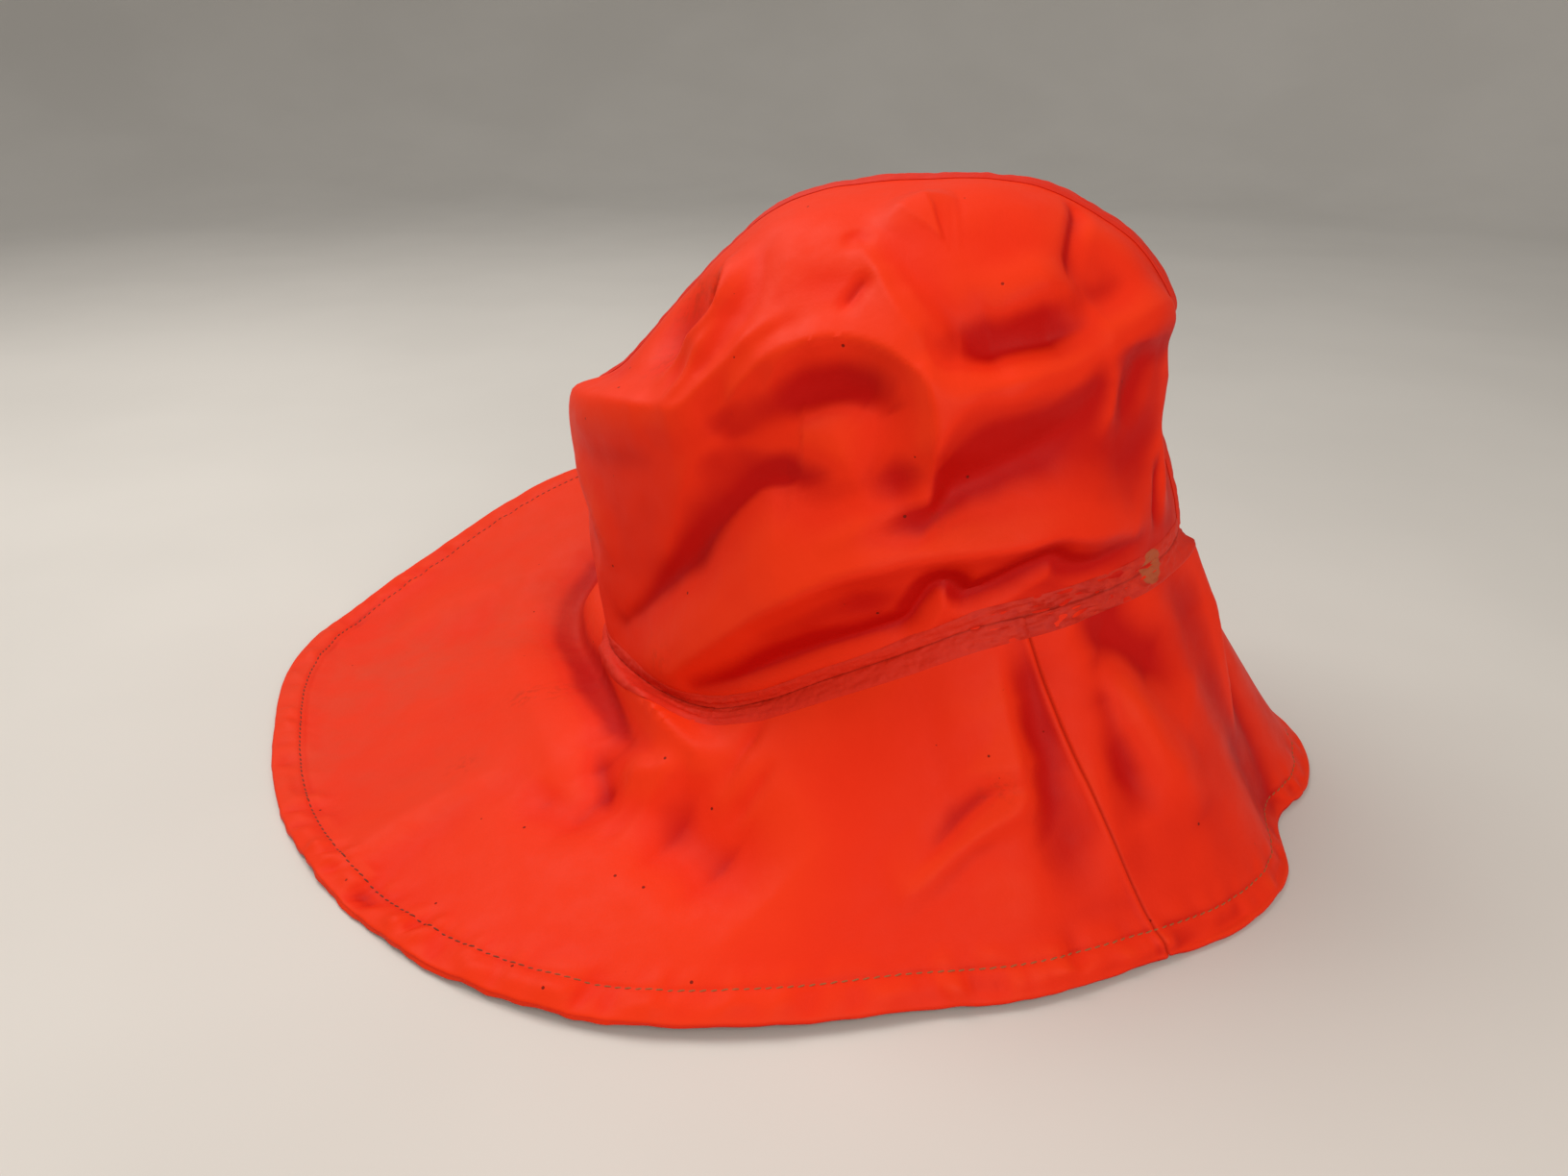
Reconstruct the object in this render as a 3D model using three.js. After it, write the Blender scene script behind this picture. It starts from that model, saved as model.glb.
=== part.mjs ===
// A rain hat of coated cloth, lying on its brim on a flat surface.
// Sizes are millimetres. +X is the short front brim, -X the long brim over the neck, +Z is up.
// An angle is measured round the crown's upright axis: 0 at the front, 90 on the hat's left side,
// 180 at the neck and 270 on its right side.
import * as THREE from "three";

// Driving sizes
const ringLong = 99; // half the length of the head opening
const ringWide = 79; // half its width
const axisX = 50; // the crown's axis, forward of the middle of the brim's plan
const topHeight = 203.5; // the crown's top above the surface, over the axis
const topSlope = 0.07; // the top rises towards the front
const clothThick = 1.4;
const hemThick = 2.6; // the hem is folded under, so it is two layers
const hemWide = 10;
const tapeThick = 1;
const tapeClear = 0.6; // between the brim's tape and the cloth under it
const crownTapeClear = 0.4;
const jointGap = 0.4; // between two panels that are sewn edge to edge
const tapeOnCrown = 4; // the brim's tape reaches this far up the crown
const tapeOnBrim = 6; // and this far down the brim
const crownTapeHalf = 4.5;
const sideSeamTop = 50; // the brim's side seams leave the crown at this angle either side of the front
const sideSeamFoot = 42; // and lean towards the front on their way down
const planShiftX = -4; // brings the middle of the plan to the origin
const planShiftY = 1;

// How finely the panels are divided
const angleStep = 5; // degrees between two columns
const crownRows = 16;
const brimRows = 7;

// The seam between crown and brim: its height at each angle. It is low over the neck.
const seamHeights = [
  { angle: 0, height: 97 },
  { angle: 30, height: 95 },
  { angle: 45, height: 91 },
  { angle: 60, height: 86 },
  { angle: 90, height: 68 },
  { angle: 120, height: 50 },
  { angle: 150, height: 44 },
  { angle: 180, height: 40 },
  { angle: 210, height: 46 },
  { angle: 240, height: 48.5 },
  { angle: 255, height: 57 },
  { angle: 270, height: 69 },
  { angle: 285, height: 79 },
  { angle: 300, height: 88 },
  { angle: 315, height: 92 },
  { angle: 330, height: 95 },
  { angle: 345, height: 97 },
];

// The brim's outer edge: its reach from the crown's axis, its height, and how much the brim
// hollows on its way down. The edge is lifted off the surface at the back of the left side.
const edgeStations = [
  { angle: 3, reach: 157, height: 0, bell: 0.3 },
  { angle: 12, reach: 161, height: 0, bell: 0.2 },
  { angle: 22, reach: 158, height: 0, bell: 0.1 },
  { angle: 32, reach: 150, height: 0, bell: 0.1 },
  { angle: 46, reach: 141, height: 0, bell: 0.15 },
  { angle: 60, reach: 138, height: 0, bell: 0.2 },
  { angle: 75, reach: 141, height: 3, bell: 0.2 },
  { angle: 90, reach: 151, height: 10, bell: 0.2 },
  { angle: 105, reach: 166, height: 24, bell: 0.3 },
  { angle: 120, reach: 184, height: 40, bell: 0.4 },
  { angle: 135, reach: 202, height: 50, bell: 0.5 },
  { angle: 145, reach: 214, height: 48, bell: 0.6 },
  { angle: 155, reach: 226, height: 34, bell: 0.7 },
  { angle: 165, reach: 243, height: 14, bell: 0.8 },
  { angle: 173, reach: 252, height: 2, bell: 0.9 },
  { angle: 182, reach: 247, height: 0, bell: 1 },
  { angle: 195, reach: 228, height: 0, bell: 1 },
  { angle: 210, reach: 211, height: 1, bell: 0.9 },
  { angle: 225, reach: 195, height: 2, bell: 0.7 },
  { angle: 240, reach: 182, height: 4, bell: 0.5 },
  { angle: 255, reach: 169, height: 5, bell: 0.4 },
  { angle: 270, reach: 154, height: 5, bell: 0.3 },
  { angle: 285, reach: 143, height: 4, bell: 0.2 },
  { angle: 300, reach: 142, height: 3, bell: 0.2 },
  { angle: 315, reach: 143, height: 2, bell: 0.2 },
  { angle: 330, reach: 150, height: 0, bell: 0.1 },
  { angle: 342, reach: 152, height: 0, bell: 0.2 },
  { angle: 352, reach: 146, height: 0, bell: 0.3 },
];

// The crown's level sections, from the seam with the brim up to the top: how far each lies up
// its side, and its reach from the axis at the front, the neck and so on round it.
const crownSections = [
  { rise: 0, front: 99, leftFront: 87, left: 79, leftNeck: 87,
    neck: 99, rightNeck: 87, right: 79, rightFront: 87 },
  { rise: 0.06, front: 98, leftFront: 86, left: 81, leftNeck: 89,
    neck: 101, rightNeck: 88, right: 81, rightFront: 86 },
  { rise: 0.18, front: 94, leftFront: 85, left: 82, leftNeck: 91,
    neck: 104, rightNeck: 88, right: 82, rightFront: 85 },
  { rise: 0.35, front: 87, leftFront: 82, left: 80, leftNeck: 92,
    neck: 107, rightNeck: 86, right: 80, rightFront: 82 },
  { rise: 0.55, front: 86, leftFront: 80, left: 75, leftNeck: 90,
    neck: 107, rightNeck: 84, right: 75, rightFront: 80 },
  { rise: 0.65, front: 88, leftFront: 76, left: 67, leftNeck: 81,
    neck: 88, rightNeck: 77, right: 67, rightFront: 76 },
  { rise: 0.78, front: 78, leftFront: 67, left: 57, leftNeck: 67,
    neck: 68, rightNeck: 65, right: 57, rightFront: 67 },
  { rise: 0.88, front: 64, leftFront: 55, left: 45, leftNeck: 52,
    neck: 52, rightNeck: 52, right: 45, rightFront: 54 },
  { rise: 0.95, front: 50, leftFront: 42, left: 32, leftNeck: 38,
    neck: 37, rightNeck: 38, right: 32, rightFront: 41 },
  { rise: 0.985, front: 34, leftFront: 25, left: 18, leftNeck: 21,
    neck: 21, rightNeck: 21, right: 18, rightFront: 25 },
  { rise: 1, front: 0, leftFront: 0, left: 0, leftNeck: 0,
    neck: 0, rightNeck: 0, right: 0, rightFront: 0 },
];
const sectionSides = ["front", "leftFront", "left", "leftNeck", "neck", "rightNeck", "right", "rightFront"];

// Folds in the crown's right side, along a path of [x, z] points. Lift is outward, and
// each fold fades over one width on the upper side of its path and another below it.
const rightCrownFolds = [
  { name: "roll over the brim seam", lift: 6, above: 13, below: 4,
    path: [[0, 66], [20, 82], [44, 97], [78, 112], [122, 116]] },
  { name: "crescent under the top", lift: 4, above: 10, below: 3,
    path: [[26, 156], [44, 168], [64, 168], [76, 150]] },
  { name: "corner over the neck", lift: 5, above: 5, below: 10,
    path: [[12, 182], [-8, 157], [2, 138]] },
  { name: "crease from the top", lift: 3.5, above: 9, below: 3,
    path: [[52, 190], [70, 176], [86, 163]] },
  { name: "short crease", lift: -2.5, above: 4, below: 4,
    path: [[54, 184], [46, 172]] },
  { name: "pocket", lift: -5, above: 3, below: 8,
    path: [[88, 146], [76, 124], [58, 112]] },
  { name: "front cheek", lift: 5, above: 14, below: 7,
    path: [[126, 160], [107, 141], [82, 128]] },
  { name: "hollow under the top", lift: -5, above: 6, below: 7,
    path: [[82, 172], [100, 173], [118, 178]] },
  { name: "crease at the top seam", lift: -1.8, above: 4, below: 4,
    path: [[106, 204], [107, 182]] },
  { name: "neck crease", lift: -4, above: 4, below: 7,
    path: [[-24, 68], [-4, 96], [10, 115], [34, 132]] },
  { name: "neck ridge", lift: 3, above: 6, below: 5,
    path: [[-18, 82], [-14, 104], [-10, 126]] },
  { name: "curl over the seam", lift: 2, above: 4, below: 3,
    path: [[64, 92], [78, 97], [92, 103]] },
];

// Broad hollows in the crown's right side, with their middle and their half sizes
const rightCrownHollows = [
  { name: "below the crescent", x: 52, z: 144, halfX: 27, halfZ: 22, lift: -8 },
  { name: "over the neck roll", x: 14, z: 100, halfX: 22, halfZ: 20, lift: -3 },
  { name: "side of the top", x: 20, z: 180, halfX: 22, halfZ: 12, lift: 3 },
];

// The hidden side is crumpled in the same way, with fewer folds
const leftCrownFolds = [
  { name: "roll over the brim seam", lift: 4, above: 12, below: 4,
    path: [[-20, 62], [30, 84], [80, 104], [118, 112]] },
  { name: "long slant", lift: 3, above: 9, below: 4,
    path: [[-10, 150], [30, 140], [70, 150]] },
  { name: "front cheek", lift: 3.5, above: 12, below: 7,
    path: [[120, 160], [92, 138], [70, 128]] },
  { name: "crease from the top", lift: -2.5, above: 5, below: 6,
    path: [[40, 188], [58, 168], [60, 150]] },
  { name: "neck crease", lift: -3, above: 5, below: 6,
    path: [[-28, 76], [-6, 104], [16, 118]] },
];

const leftCrownHollows = [
  { name: "middle of the side", x: 56, z: 132, halfX: 30, halfZ: 18, lift: -5 },
  { name: "side of the top", x: 14, z: 178, halfX: 20, halfZ: 12, lift: 2.5 },
];

// Folds in the brim, along a path of [x, y] points seen from above
const brimFolds = [
  { name: "valley round the neck", lift: -4, above: 6, below: 8,
    path: [[-84, 34], [-72, -12], [-42, -60], [-4, -86]] },
  { name: "ridge from the seam", lift: 3.5, above: 5, below: 4,
    path: [[-34, -54], [-10, -74], [14, -92]] },
  { name: "small hollow", lift: -1.5, above: 5, below: 5,
    path: [[-26, -82], [-12, -98]] },
  { name: "side crease", lift: 1.5, above: 6, below: 6,
    path: [[38, -84], [26, -98], [20, -112]] },
  { name: "faint crease", lift: -0.8, above: 4, below: 4,
    path: [[-62, -129], [-12, -118]] },
  { name: "ridge by the side seam", lift: 4, above: 7, below: 4,
    path: [[98, -72], [107, -82], [112, -94], [118, -108]] },
  { name: "valley by the side seam", lift: -3, above: 5, below: 6,
    path: [[108, -72], [114, -85], [122, -93], [131, -105]] },
  { name: "slanting hollow", lift: -2, above: 6, below: 6,
    path: [[102, -92], [80, -117]] },
  { name: "front cheek", lift: 4, above: 9, below: 9,
    path: [[156, -22], [172, -36], [186, -44]] },
  { name: "front valley", lift: -5, above: 7, below: 9,
    path: [[156, -2], [176, -9], [202, -20]] },
  { name: "panel crease", lift: 2, above: 6, below: 5,
    path: [[133, -57], [155, -62]] },
  { name: "left front ridge", lift: 3.5, above: 8, below: 8,
    path: [[110, 68], [122, 92]] },
  { name: "left side valley", lift: -4, above: 9, below: 9,
    path: [[60, 84], [66, 130]] },
  { name: "left side ridge", lift: 3, above: 9, below: 9,
    path: [[20, 84], [4, 140]] },
  { name: "left neck crease", lift: -2, above: 7, below: 7,
    path: [[-40, 60], [-100, 90]] },
];

const creaseRound = 1.2; // a fold's crest is rounded over this much
const edgeFade = 9; // folds die out this close to a seam
const degrees = Math.PI / 180;

// Colours of the cloth and the tape
const clothColour = 0xe2301a;
const tapeColour = 0xc82a1c;

// The value between two stations of a smooth curve, with its slopes given there
function hermite(from, to, slopeFrom, slopeTo, t) {
  const t2 = t * t;
  const t3 = t2 * t;
  const start = (2 * t3 - 3 * t2 + 1) * from + (t3 - 2 * t2 + t) * slopeFrom;
  return start + (3 * t2 - 2 * t3) * to + (t3 - t2) * slopeTo;
}

// Goes smoothly from 0 to 1 as a value grows to the given span
function ease(value, span) {
  const t = THREE.MathUtils.clamp(value / span, 0, 1);
  return t * t * (3 - 2 * t);
}

// The smooth closed curve of one column of a table over the angle
function roundTable(stations, column, angle) {
  const turn = THREE.MathUtils.euclideanModulo(angle, 360);
  const count = stations.length;
  const passed = stations.findLastIndex((station) => station.angle <= turn);
  const at = passed < 0 ? count - 1 : passed;
  const pick = (step) => stations[(at + step + count) % count];
  const apart = (first, second) => THREE.MathUtils.euclideanModulo(second.angle - first.angle, 360);
  const [before, here, next, after] = [pick(-1), pick(0), pick(1), pick(2)];
  const span = apart(here, next);
  const slopeHere = ((next[column] - before[column]) * span) / (apart(before, here) + span);
  const slopeNext = ((after[column] - here[column]) * span) / (span + apart(next, after));
  return hermite(here[column], next[column], slopeHere, slopeNext, apart(here, { angle: turn }) / span);
}

// The smooth open curve of one column over the rows of a table, which lie evenly from 0 to 1
function rowTable(rows, column, place) {
  const last = rows.length - 1;
  const position = THREE.MathUtils.clamp(place, 0, 1) * last;
  const at = Math.min(Math.floor(position), last - 1);
  const value = (index) => rows[THREE.MathUtils.clamp(index, 0, last)][column];
  const slopeHere = at === 0 ? value(1) - value(0) : (value(at + 1) - value(at - 1)) / 2;
  const slopeNext = at + 2 > last ? value(last) - value(last - 1) : (value(at + 2) - value(at)) / 2;
  return hermite(value(at), value(at + 1), slopeHere, slopeNext, position - at);
}

// The reach at an angle between eight sides, each 45 degrees from the next
function betweenSides(reachOfSide, angle) {
  const position = THREE.MathUtils.euclideanModulo(angle, 360) / 45;
  const at = Math.floor(position);
  const reach = (index) => reachOfSide(sectionSides[(index + 8) % 8]);
  const slopeHere = (reach(at + 1) - reach(at - 1)) / 2;
  const slopeNext = (reach(at + 2) - reach(at)) / 2;
  return hermite(reach(at), reach(at + 1), slopeHere, slopeNext, position - at);
}

// The reach of the oval head opening
function ovalReach(angle) {
  const across = ringWide * Math.cos(angle * degrees);
  const along = ringLong * Math.sin(angle * degrees);
  return (ringLong * ringWide) / Math.hypot(across, along);
}

function fromAxis(angle, reach, height) {
  const x = axisX + reach * Math.cos(angle * degrees);
  return new THREE.Vector3(x, reach * Math.sin(angle * degrees), height);
}

function seamPoint(angle) {
  return fromAxis(angle, ovalReach(angle), roundTable(seamHeights, "height", angle));
}

function edgePoint(angle) {
  const reach = roundTable(edgeStations, "reach", angle);
  return fromAxis(angle, reach, roundTable(edgeStations, "height", angle));
}

// The angle at the brim's edge below a given angle at the seam
function angleBelow(angle) {
  const signed = THREE.MathUtils.euclideanModulo(angle + 180, 360) - 180;
  const away = Math.abs(signed);
  if (away <= sideSeamTop) {
    return (signed * sideSeamFoot) / sideSeamTop;
  }
  const share = (180 - away) / (180 - sideSeamTop);
  return Math.sign(signed) * (180 - share * (180 - sideSeamFoot));
}

// The brim without folds: down is 0 at the seam and 1 at the outer edge
function plainBrim(angle, down) {
  const seam = seamPoint(angle);
  const edge = edgePoint(angleBelow(angle));
  const bell = roundTable(edgeStations, "bell", angleBelow(angle));
  const fall = down + bell * down * (1 - down);
  const point = seam.clone().lerp(edge, down);
  point.z = seam.z + (edge.z - seam.z) * fall;
  return point;
}

// The crown without folds: up is 0 at the seam and 1 at the top
function plainCrown(angle, up) {
  const rise = rowTable(crownSections, "rise", up);
  const table = betweenSides((side) => rowTable(crownSections, side, up), angle);
  const roundness = ovalReach(angle) / betweenSides((side) => crownSections[0][side], angle);
  const reach = table * roundness;
  const seamHeight = roundTable(seamHeights, "height", angle);
  const point = fromAxis(angle, reach, 0);
  point.z = seamHeight + (topHeight - seamHeight) * rise + topSlope * (point.x - axisX) * rise;
  return point;
}

// How far a point lies beside a path, and how strong the fold is at that place along it
function foldAt(fold, first, second) {
  let nearest = Infinity;
  let side = 1;
  let along = 0;
  const legs = fold.path.length - 1;
  for (let leg = 0; leg < legs; leg += 1) {
    const [startX, startY] = fold.path[leg];
    const [endX, endY] = fold.path[leg + 1];
    const legX = endX - startX;
    const legY = endY - startY;
    const project = ((first - startX) * legX + (second - startY) * legY) / (legX * legX + legY * legY);
    const place = THREE.MathUtils.clamp(project, 0, 1);
    const awayX = first - startX - place * legX;
    const awayY = second - startY - place * legY;
    const away = Math.hypot(awayX, awayY);
    if (away < nearest) {
      nearest = away;
      side = legX * awayY - legY * awayX;
      along = (leg + place) / legs;
    }
  }
  const width = side > 0 ? fold.above : fold.below;
  const strength = Math.sqrt(Math.sin(Math.PI * THREE.MathUtils.clamp(along, 0.04, 0.96)));
  const crest = Math.hypot(nearest, creaseRound) - creaseRound;
  return fold.lift * strength * Math.exp(-crest / width);
}

function hollowAt(hollow, x, z) {
  const distance = Math.hypot((x - hollow.x) / hollow.halfX, (z - hollow.z) / hollow.halfZ);
  return hollow.lift * Math.exp(-(distance ** 3));
}

function crownLift(point, up) {
  const folds = point.y < 0 ? rightCrownFolds : leftCrownFolds;
  const hollows = point.y < 0 ? rightCrownHollows : leftCrownHollows;
  let lift = 0;
  for (const fold of folds) {
    lift += foldAt(fold, point.x, point.z);
  }
  for (const hollow of hollows) {
    lift += hollowAt(hollow, point.x, point.z);
  }
  return lift * ease(Math.abs(point.y), 2 * edgeFade) * ease(up, 0.08);
}

function brimLift(point, down) {
  let lift = 0;
  for (const fold of brimFolds) {
    lift += foldAt(fold, point.x, point.y);
  }
  return lift * ease(down, 0.12);
}

// The outward normal of a surface of two places, by small steps on it
function normalOf(surface, angle, place) {
  const step = 0.01;
  const low = Math.max(place - step, 0);
  const high = Math.min(place + step, 1);
  const around = surface(angle + 1, place).sub(surface(angle - 1, place));
  const upward = surface(angle, high).sub(surface(angle, low));
  if (around.lengthSq() < 1e-6) {
    return new THREE.Vector3(0, 0, 1);
  }
  return around.cross(upward).normalize();
}

function crownPoint(angle, up) {
  const point = plainCrown(angle, up);
  const lift = crownLift(point, up);
  return point.addScaledVector(normalOf(plainCrown, angle, up), lift);
}

function crownNormal(angle, up) {
  return normalOf(crownPoint, angle, up);
}

function brimPoint(angle, down) {
  const point = plainBrim(angle, down);
  const lift = brimLift(point, down);
  return point.addScaledVector(normalOf(plainBrim, angle, down).negate(), lift);
}

function brimNormal(angle, down) {
  return normalOf(brimPoint, angle, down).negate();
}

// At the seam both cloths are cut along the line that halves the corner between them
function seamMitre(angle) {
  const crown = crownNormal(angle, 0);
  const brim = brimNormal(angle, 0);
  const half = crown.clone().add(brim).normalize();
  return half.divideScalar(half.dot(crown));
}

// A closed shell from two grids of points, grid[column][row], outer and inner.
// A closed ring joins its last column to its first.
function shell(outer, inner, closedRing) {
  const columns = outer.length;
  const rows = outer[0].length;
  const positions = [];
  for (const point of [outer, inner].flat(2)) {
    positions.push(point.x, point.y, point.z);
  }
  const triangles = [];
  const layer = columns * rows;
  const index = (side, column, row) => side * layer + (column % columns) * rows + row;
  const quad = (a, b, c, d) => triangles.push(a, b, c, a, c, d);
  const spans = closedRing ? columns : columns - 1;
  for (let column = 0; column < spans; column += 1) {
    for (let row = 0; row < rows - 1; row += 1) {
      const corners = [[column, row], [column + 1, row], [column + 1, row + 1], [column, row + 1]];
      const [a, b, c, d] = corners.map(([i, j]) => index(0, i, j));
      const [e, f, g, h] = corners.map(([i, j]) => index(1, i, j));
      quad(a, b, c, d);
      quad(h, g, f, e);
    }
    const ends = [[0, column + 1, column], [rows - 1, column, column + 1]];
    for (const [row, first, second] of ends) {
      quad(index(0, first, row), index(0, second, row), index(1, second, row), index(1, first, row));
    }
  }
  if (!closedRing) {
    for (let row = 0; row < rows - 1; row += 1) {
      const last = columns - 1;
      quad(index(0, 0, row), index(0, 0, row + 1), index(1, 0, row + 1), index(1, 0, row));
      quad(index(0, last, row + 1), index(0, last, row), index(1, last, row), index(1, last, row + 1));
    }
  }
  return withoutSlivers(positions, triangles);
}

// Joins the points that fall together, such as the crown's top, and drops what collapses there
function withoutSlivers(positions, triangles) {
  const names = new Map();
  const merged = [];
  const renamed = [];
  for (let at = 0; at < positions.length; at += 3) {
    const key = positions.slice(at, at + 3).map((value) => Math.round(value * 1000)).join(" ");
    if (!names.has(key)) {
      names.set(key, merged.length / 3);
      merged.push(positions[at], positions[at + 1], positions[at + 2]);
    }
    renamed.push(names.get(key));
  }
  const kept = [];
  for (let at = 0; at < triangles.length; at += 3) {
    const [a, b, c] = triangles.slice(at, at + 3).map((corner) => renamed[corner]);
    if (a !== b && b !== c && c !== a) {
      kept.push(a, b, c);
    }
  }
  const geometry = new THREE.BufferGeometry();
  geometry.setAttribute("position", new THREE.Float32BufferAttribute(merged, 3));
  geometry.setIndex(kept);
  geometry.translate(planShiftX, planShiftY, 0);
  geometry.computeVertexNormals();
  return geometry;
}

function namedMesh(name, geometry, colour) {
  const material = new THREE.MeshStandardMaterial({ color: colour, roughness: 0.5, metalness: 0 });
  const mesh = new THREE.Mesh(geometry, material);
  mesh.name = name;
  return mesh;
}

// The places up the crown where it is divided: the tape's edge, then even rows to the top
function crownPlaces(angle) {
  const tapeEdge = (0.05 * tapeOnCrown) / plainCrown(angle, 0).distanceTo(plainCrown(angle, 0.05));
  const places = [0, tapeEdge];
  for (let row = 1; row <= crownRows; row += 1) {
    places.push(tapeEdge + ((1 - tapeEdge) * row) / crownRows);
  }
  return places;
}

// One side of the crown, between the front and the neck ends of the centre seam
function crownPanel(name, startAngle) {
  const outer = [];
  const inner = [];
  const side = startAngle === 0 ? 1 : -1;
  for (let angle = startAngle; angle <= startAngle + 180; angle += angleStep) {
    const atSeam = angle % 180 === 0;
    const outerColumn = [];
    const innerColumn = [];
    for (const up of crownPlaces(angle)) {
      const middle = crownPoint(angle, up);
      const offset = up === 0 ? seamMitre(angle) : crownNormal(angle, up);
      if (atSeam) {
        offset.setY(0).normalize();
      }
      middle.y += (side * jointGap) / 2;
      if (up === 0) {
        middle.z += jointGap / 2;
      }
      outerColumn.push(middle.clone().addScaledVector(offset, clothThick / 2));
      innerColumn.push(middle.clone().addScaledVector(offset, -clothThick / 2));
    }
    outer.push(outerColumn);
    inner.push(innerColumn);
  }
  return namedMesh(name, shell(outer, inner, false), clothColour);
}

// The places down the brim where it is divided: the tape's edge, even rows, then the hem
function brimPlaces(angle) {
  const width = plainBrim(angle, 0).distanceTo(plainBrim(angle, 1));
  const tapeEdge = tapeOnBrim / width;
  const hemStart = 1 - hemWide / width;
  const places = [{ down: 0, thick: clothThick }];
  for (let row = 0; row <= brimRows; row += 1) {
    places.push({ down: tapeEdge + ((hemStart - tapeEdge) * row) / brimRows, thick: clothThick });
  }
  places.push({ down: hemStart + 0.8 / width, thick: hemThick });
  places.push({ down: 1 - 1 / width, thick: hemThick });
  places.push({ down: 1, thick: clothThick });
  return places;
}

// A panel of the brim between two seams, each of them shifted by half the joint's gap. Where
// it would lie under the surface that the hat rests on, it lies flat on that surface.
function brimPanel(name, startAngle, endAngle) {
  const outer = [];
  const inner = [];
  for (let angle = startAngle; angle <= endAngle; angle += angleStep) {
    const along = new THREE.Vector3(-Math.sin(angle * degrees), Math.cos(angle * degrees), 0);
    const downward = plainBrim(angle, 1).sub(plainBrim(angle, 0)).normalize();
    const outerColumn = [];
    const innerColumn = [];
    for (const { down, thick } of brimPlaces(angle)) {
      const middle = brimPoint(angle, down);
      const offset = down === 0 ? seamMitre(angle) : brimNormal(angle, down);
      if (down === 0) {
        middle.addScaledVector(downward, jointGap / 2);
      }
      if (angle === startAngle) {
        middle.addScaledVector(along, jointGap / 2);
      }
      if (angle === endAngle) {
        middle.addScaledVector(along, -jointGap / 2);
      }
      const top = middle.clone().addScaledVector(offset, clothThick / 2);
      const under = middle.clone().addScaledVector(offset, clothThick / 2 - thick);
      const sunk = Math.min(under.z, 0);
      top.z -= sunk;
      under.z -= sunk;
      outerColumn.push(under);
      innerColumn.push(top);
    }
    outer.push(outerColumn);
    inner.push(innerColumn);
  }
  return namedMesh(name, shell(outer, inner, false), clothColour);
}

// The tape over the join of crown and brim, one closed ring that follows the corner
function brimSeamTape() {
  const outer = [];
  const inner = [];
  const base = clothThick / 2 + tapeClear;
  for (let angle = 0; angle < 360; angle += angleStep) {
    const crownReach = crownPlaces(angle)[1];
    const brimReach = brimPlaces(angle)[1].down;
    const stations = [
      [brimPoint(angle, brimReach), brimNormal(angle, brimReach)],
      [crownPoint(angle, 0), seamMitre(angle)],
      [crownPoint(angle, crownReach), crownNormal(angle, crownReach)],
    ];
    outer.push(stations.map(([point, offset]) => point.clone().addScaledVector(offset, base + tapeThick)));
    inner.push(stations.map(([point, offset]) => point.clone().addScaledVector(offset, base)));
  }
  return namedMesh("brim_seam_tape", shell(outer, inner, true), tapeColour);
}

// The crown's point beside its centre seam, at the given distance to either side
function besideSeam(angle, up, distance) {
  const middle = crownPoint(angle, up);
  const reach = Math.abs(middle.x - axisX);
  if (reach <= 3 * Math.abs(distance)) {
    middle.y += distance;
    return middle;
  }
  const turn = Math.asin(distance / reach) / degrees;
  return crownPoint(angle === 0 ? turn : 180 - turn, up);
}

// The tape over the crown's centre seam, from just above the brim's tape at the front, over the
// top and down to the same height over the neck
function crownSeamTape() {
  const stations = [];
  for (const up of crownPlaces(0).slice(2)) {
    stations.push([0, up]);
  }
  for (const up of crownPlaces(180).slice(2, -1).reverse()) {
    stations.push([180, up]);
  }
  const outer = [];
  const inner = [];
  const base = clothThick / 2 + crownTapeClear;
  for (const [angle, up] of stations) {
    const offset = crownNormal(angle, up).setY(0).normalize();
    const places = [crownTapeHalf, 0, -crownTapeHalf].map((distance) => besideSeam(angle, up, distance));
    outer.push(places.map((place) => place.clone().addScaledVector(offset, base + tapeThick)));
    inner.push(places.map((place) => place.clone().addScaledVector(offset, base)));
  }
  return namedMesh("crown_seam_tape", shell(outer, inner, false), tapeColour);
}

const rainHat = new THREE.Group();
rainHat.add(crownPanel("crown_right_panel", 180));
rainHat.add(crownPanel("crown_left_panel", 0));
rainHat.add(brimPanel("neck_brim_panel", sideSeamTop, 360 - sideSeamTop));
rainHat.add(brimPanel("front_brim_panel", -sideSeamTop, sideSeamTop));
rainHat.add(brimSeamTape());
rainHat.add(crownSeamTape());

export default rainHat;
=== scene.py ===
# Rain hat of coated cloth, lying on its brim. Tables are in millimetres, the scene is in metres.
# x runs to the short front brim, y to the wearer's left, z up.
# Angles go round the crown's axis: 0 front, 90 left side, 180 neck, 270 right side.
import math
import random
import bpy
import numpy as np
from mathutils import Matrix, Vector, noise
from mathutils.bvhtree import BVHTree


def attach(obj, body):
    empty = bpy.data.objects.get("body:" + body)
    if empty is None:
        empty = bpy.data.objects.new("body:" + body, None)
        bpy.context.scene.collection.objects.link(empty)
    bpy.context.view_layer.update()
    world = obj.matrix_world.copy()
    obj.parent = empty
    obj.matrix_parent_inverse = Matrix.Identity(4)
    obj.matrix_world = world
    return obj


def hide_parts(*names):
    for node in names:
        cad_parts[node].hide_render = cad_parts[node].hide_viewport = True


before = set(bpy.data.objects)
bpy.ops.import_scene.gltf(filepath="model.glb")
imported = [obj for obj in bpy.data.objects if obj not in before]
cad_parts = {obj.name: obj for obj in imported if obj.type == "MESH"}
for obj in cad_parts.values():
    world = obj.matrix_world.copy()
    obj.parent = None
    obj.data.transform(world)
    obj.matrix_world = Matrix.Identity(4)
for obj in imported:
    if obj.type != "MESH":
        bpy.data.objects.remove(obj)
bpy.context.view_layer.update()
print("frame loaded")

mm = 0.001

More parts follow.
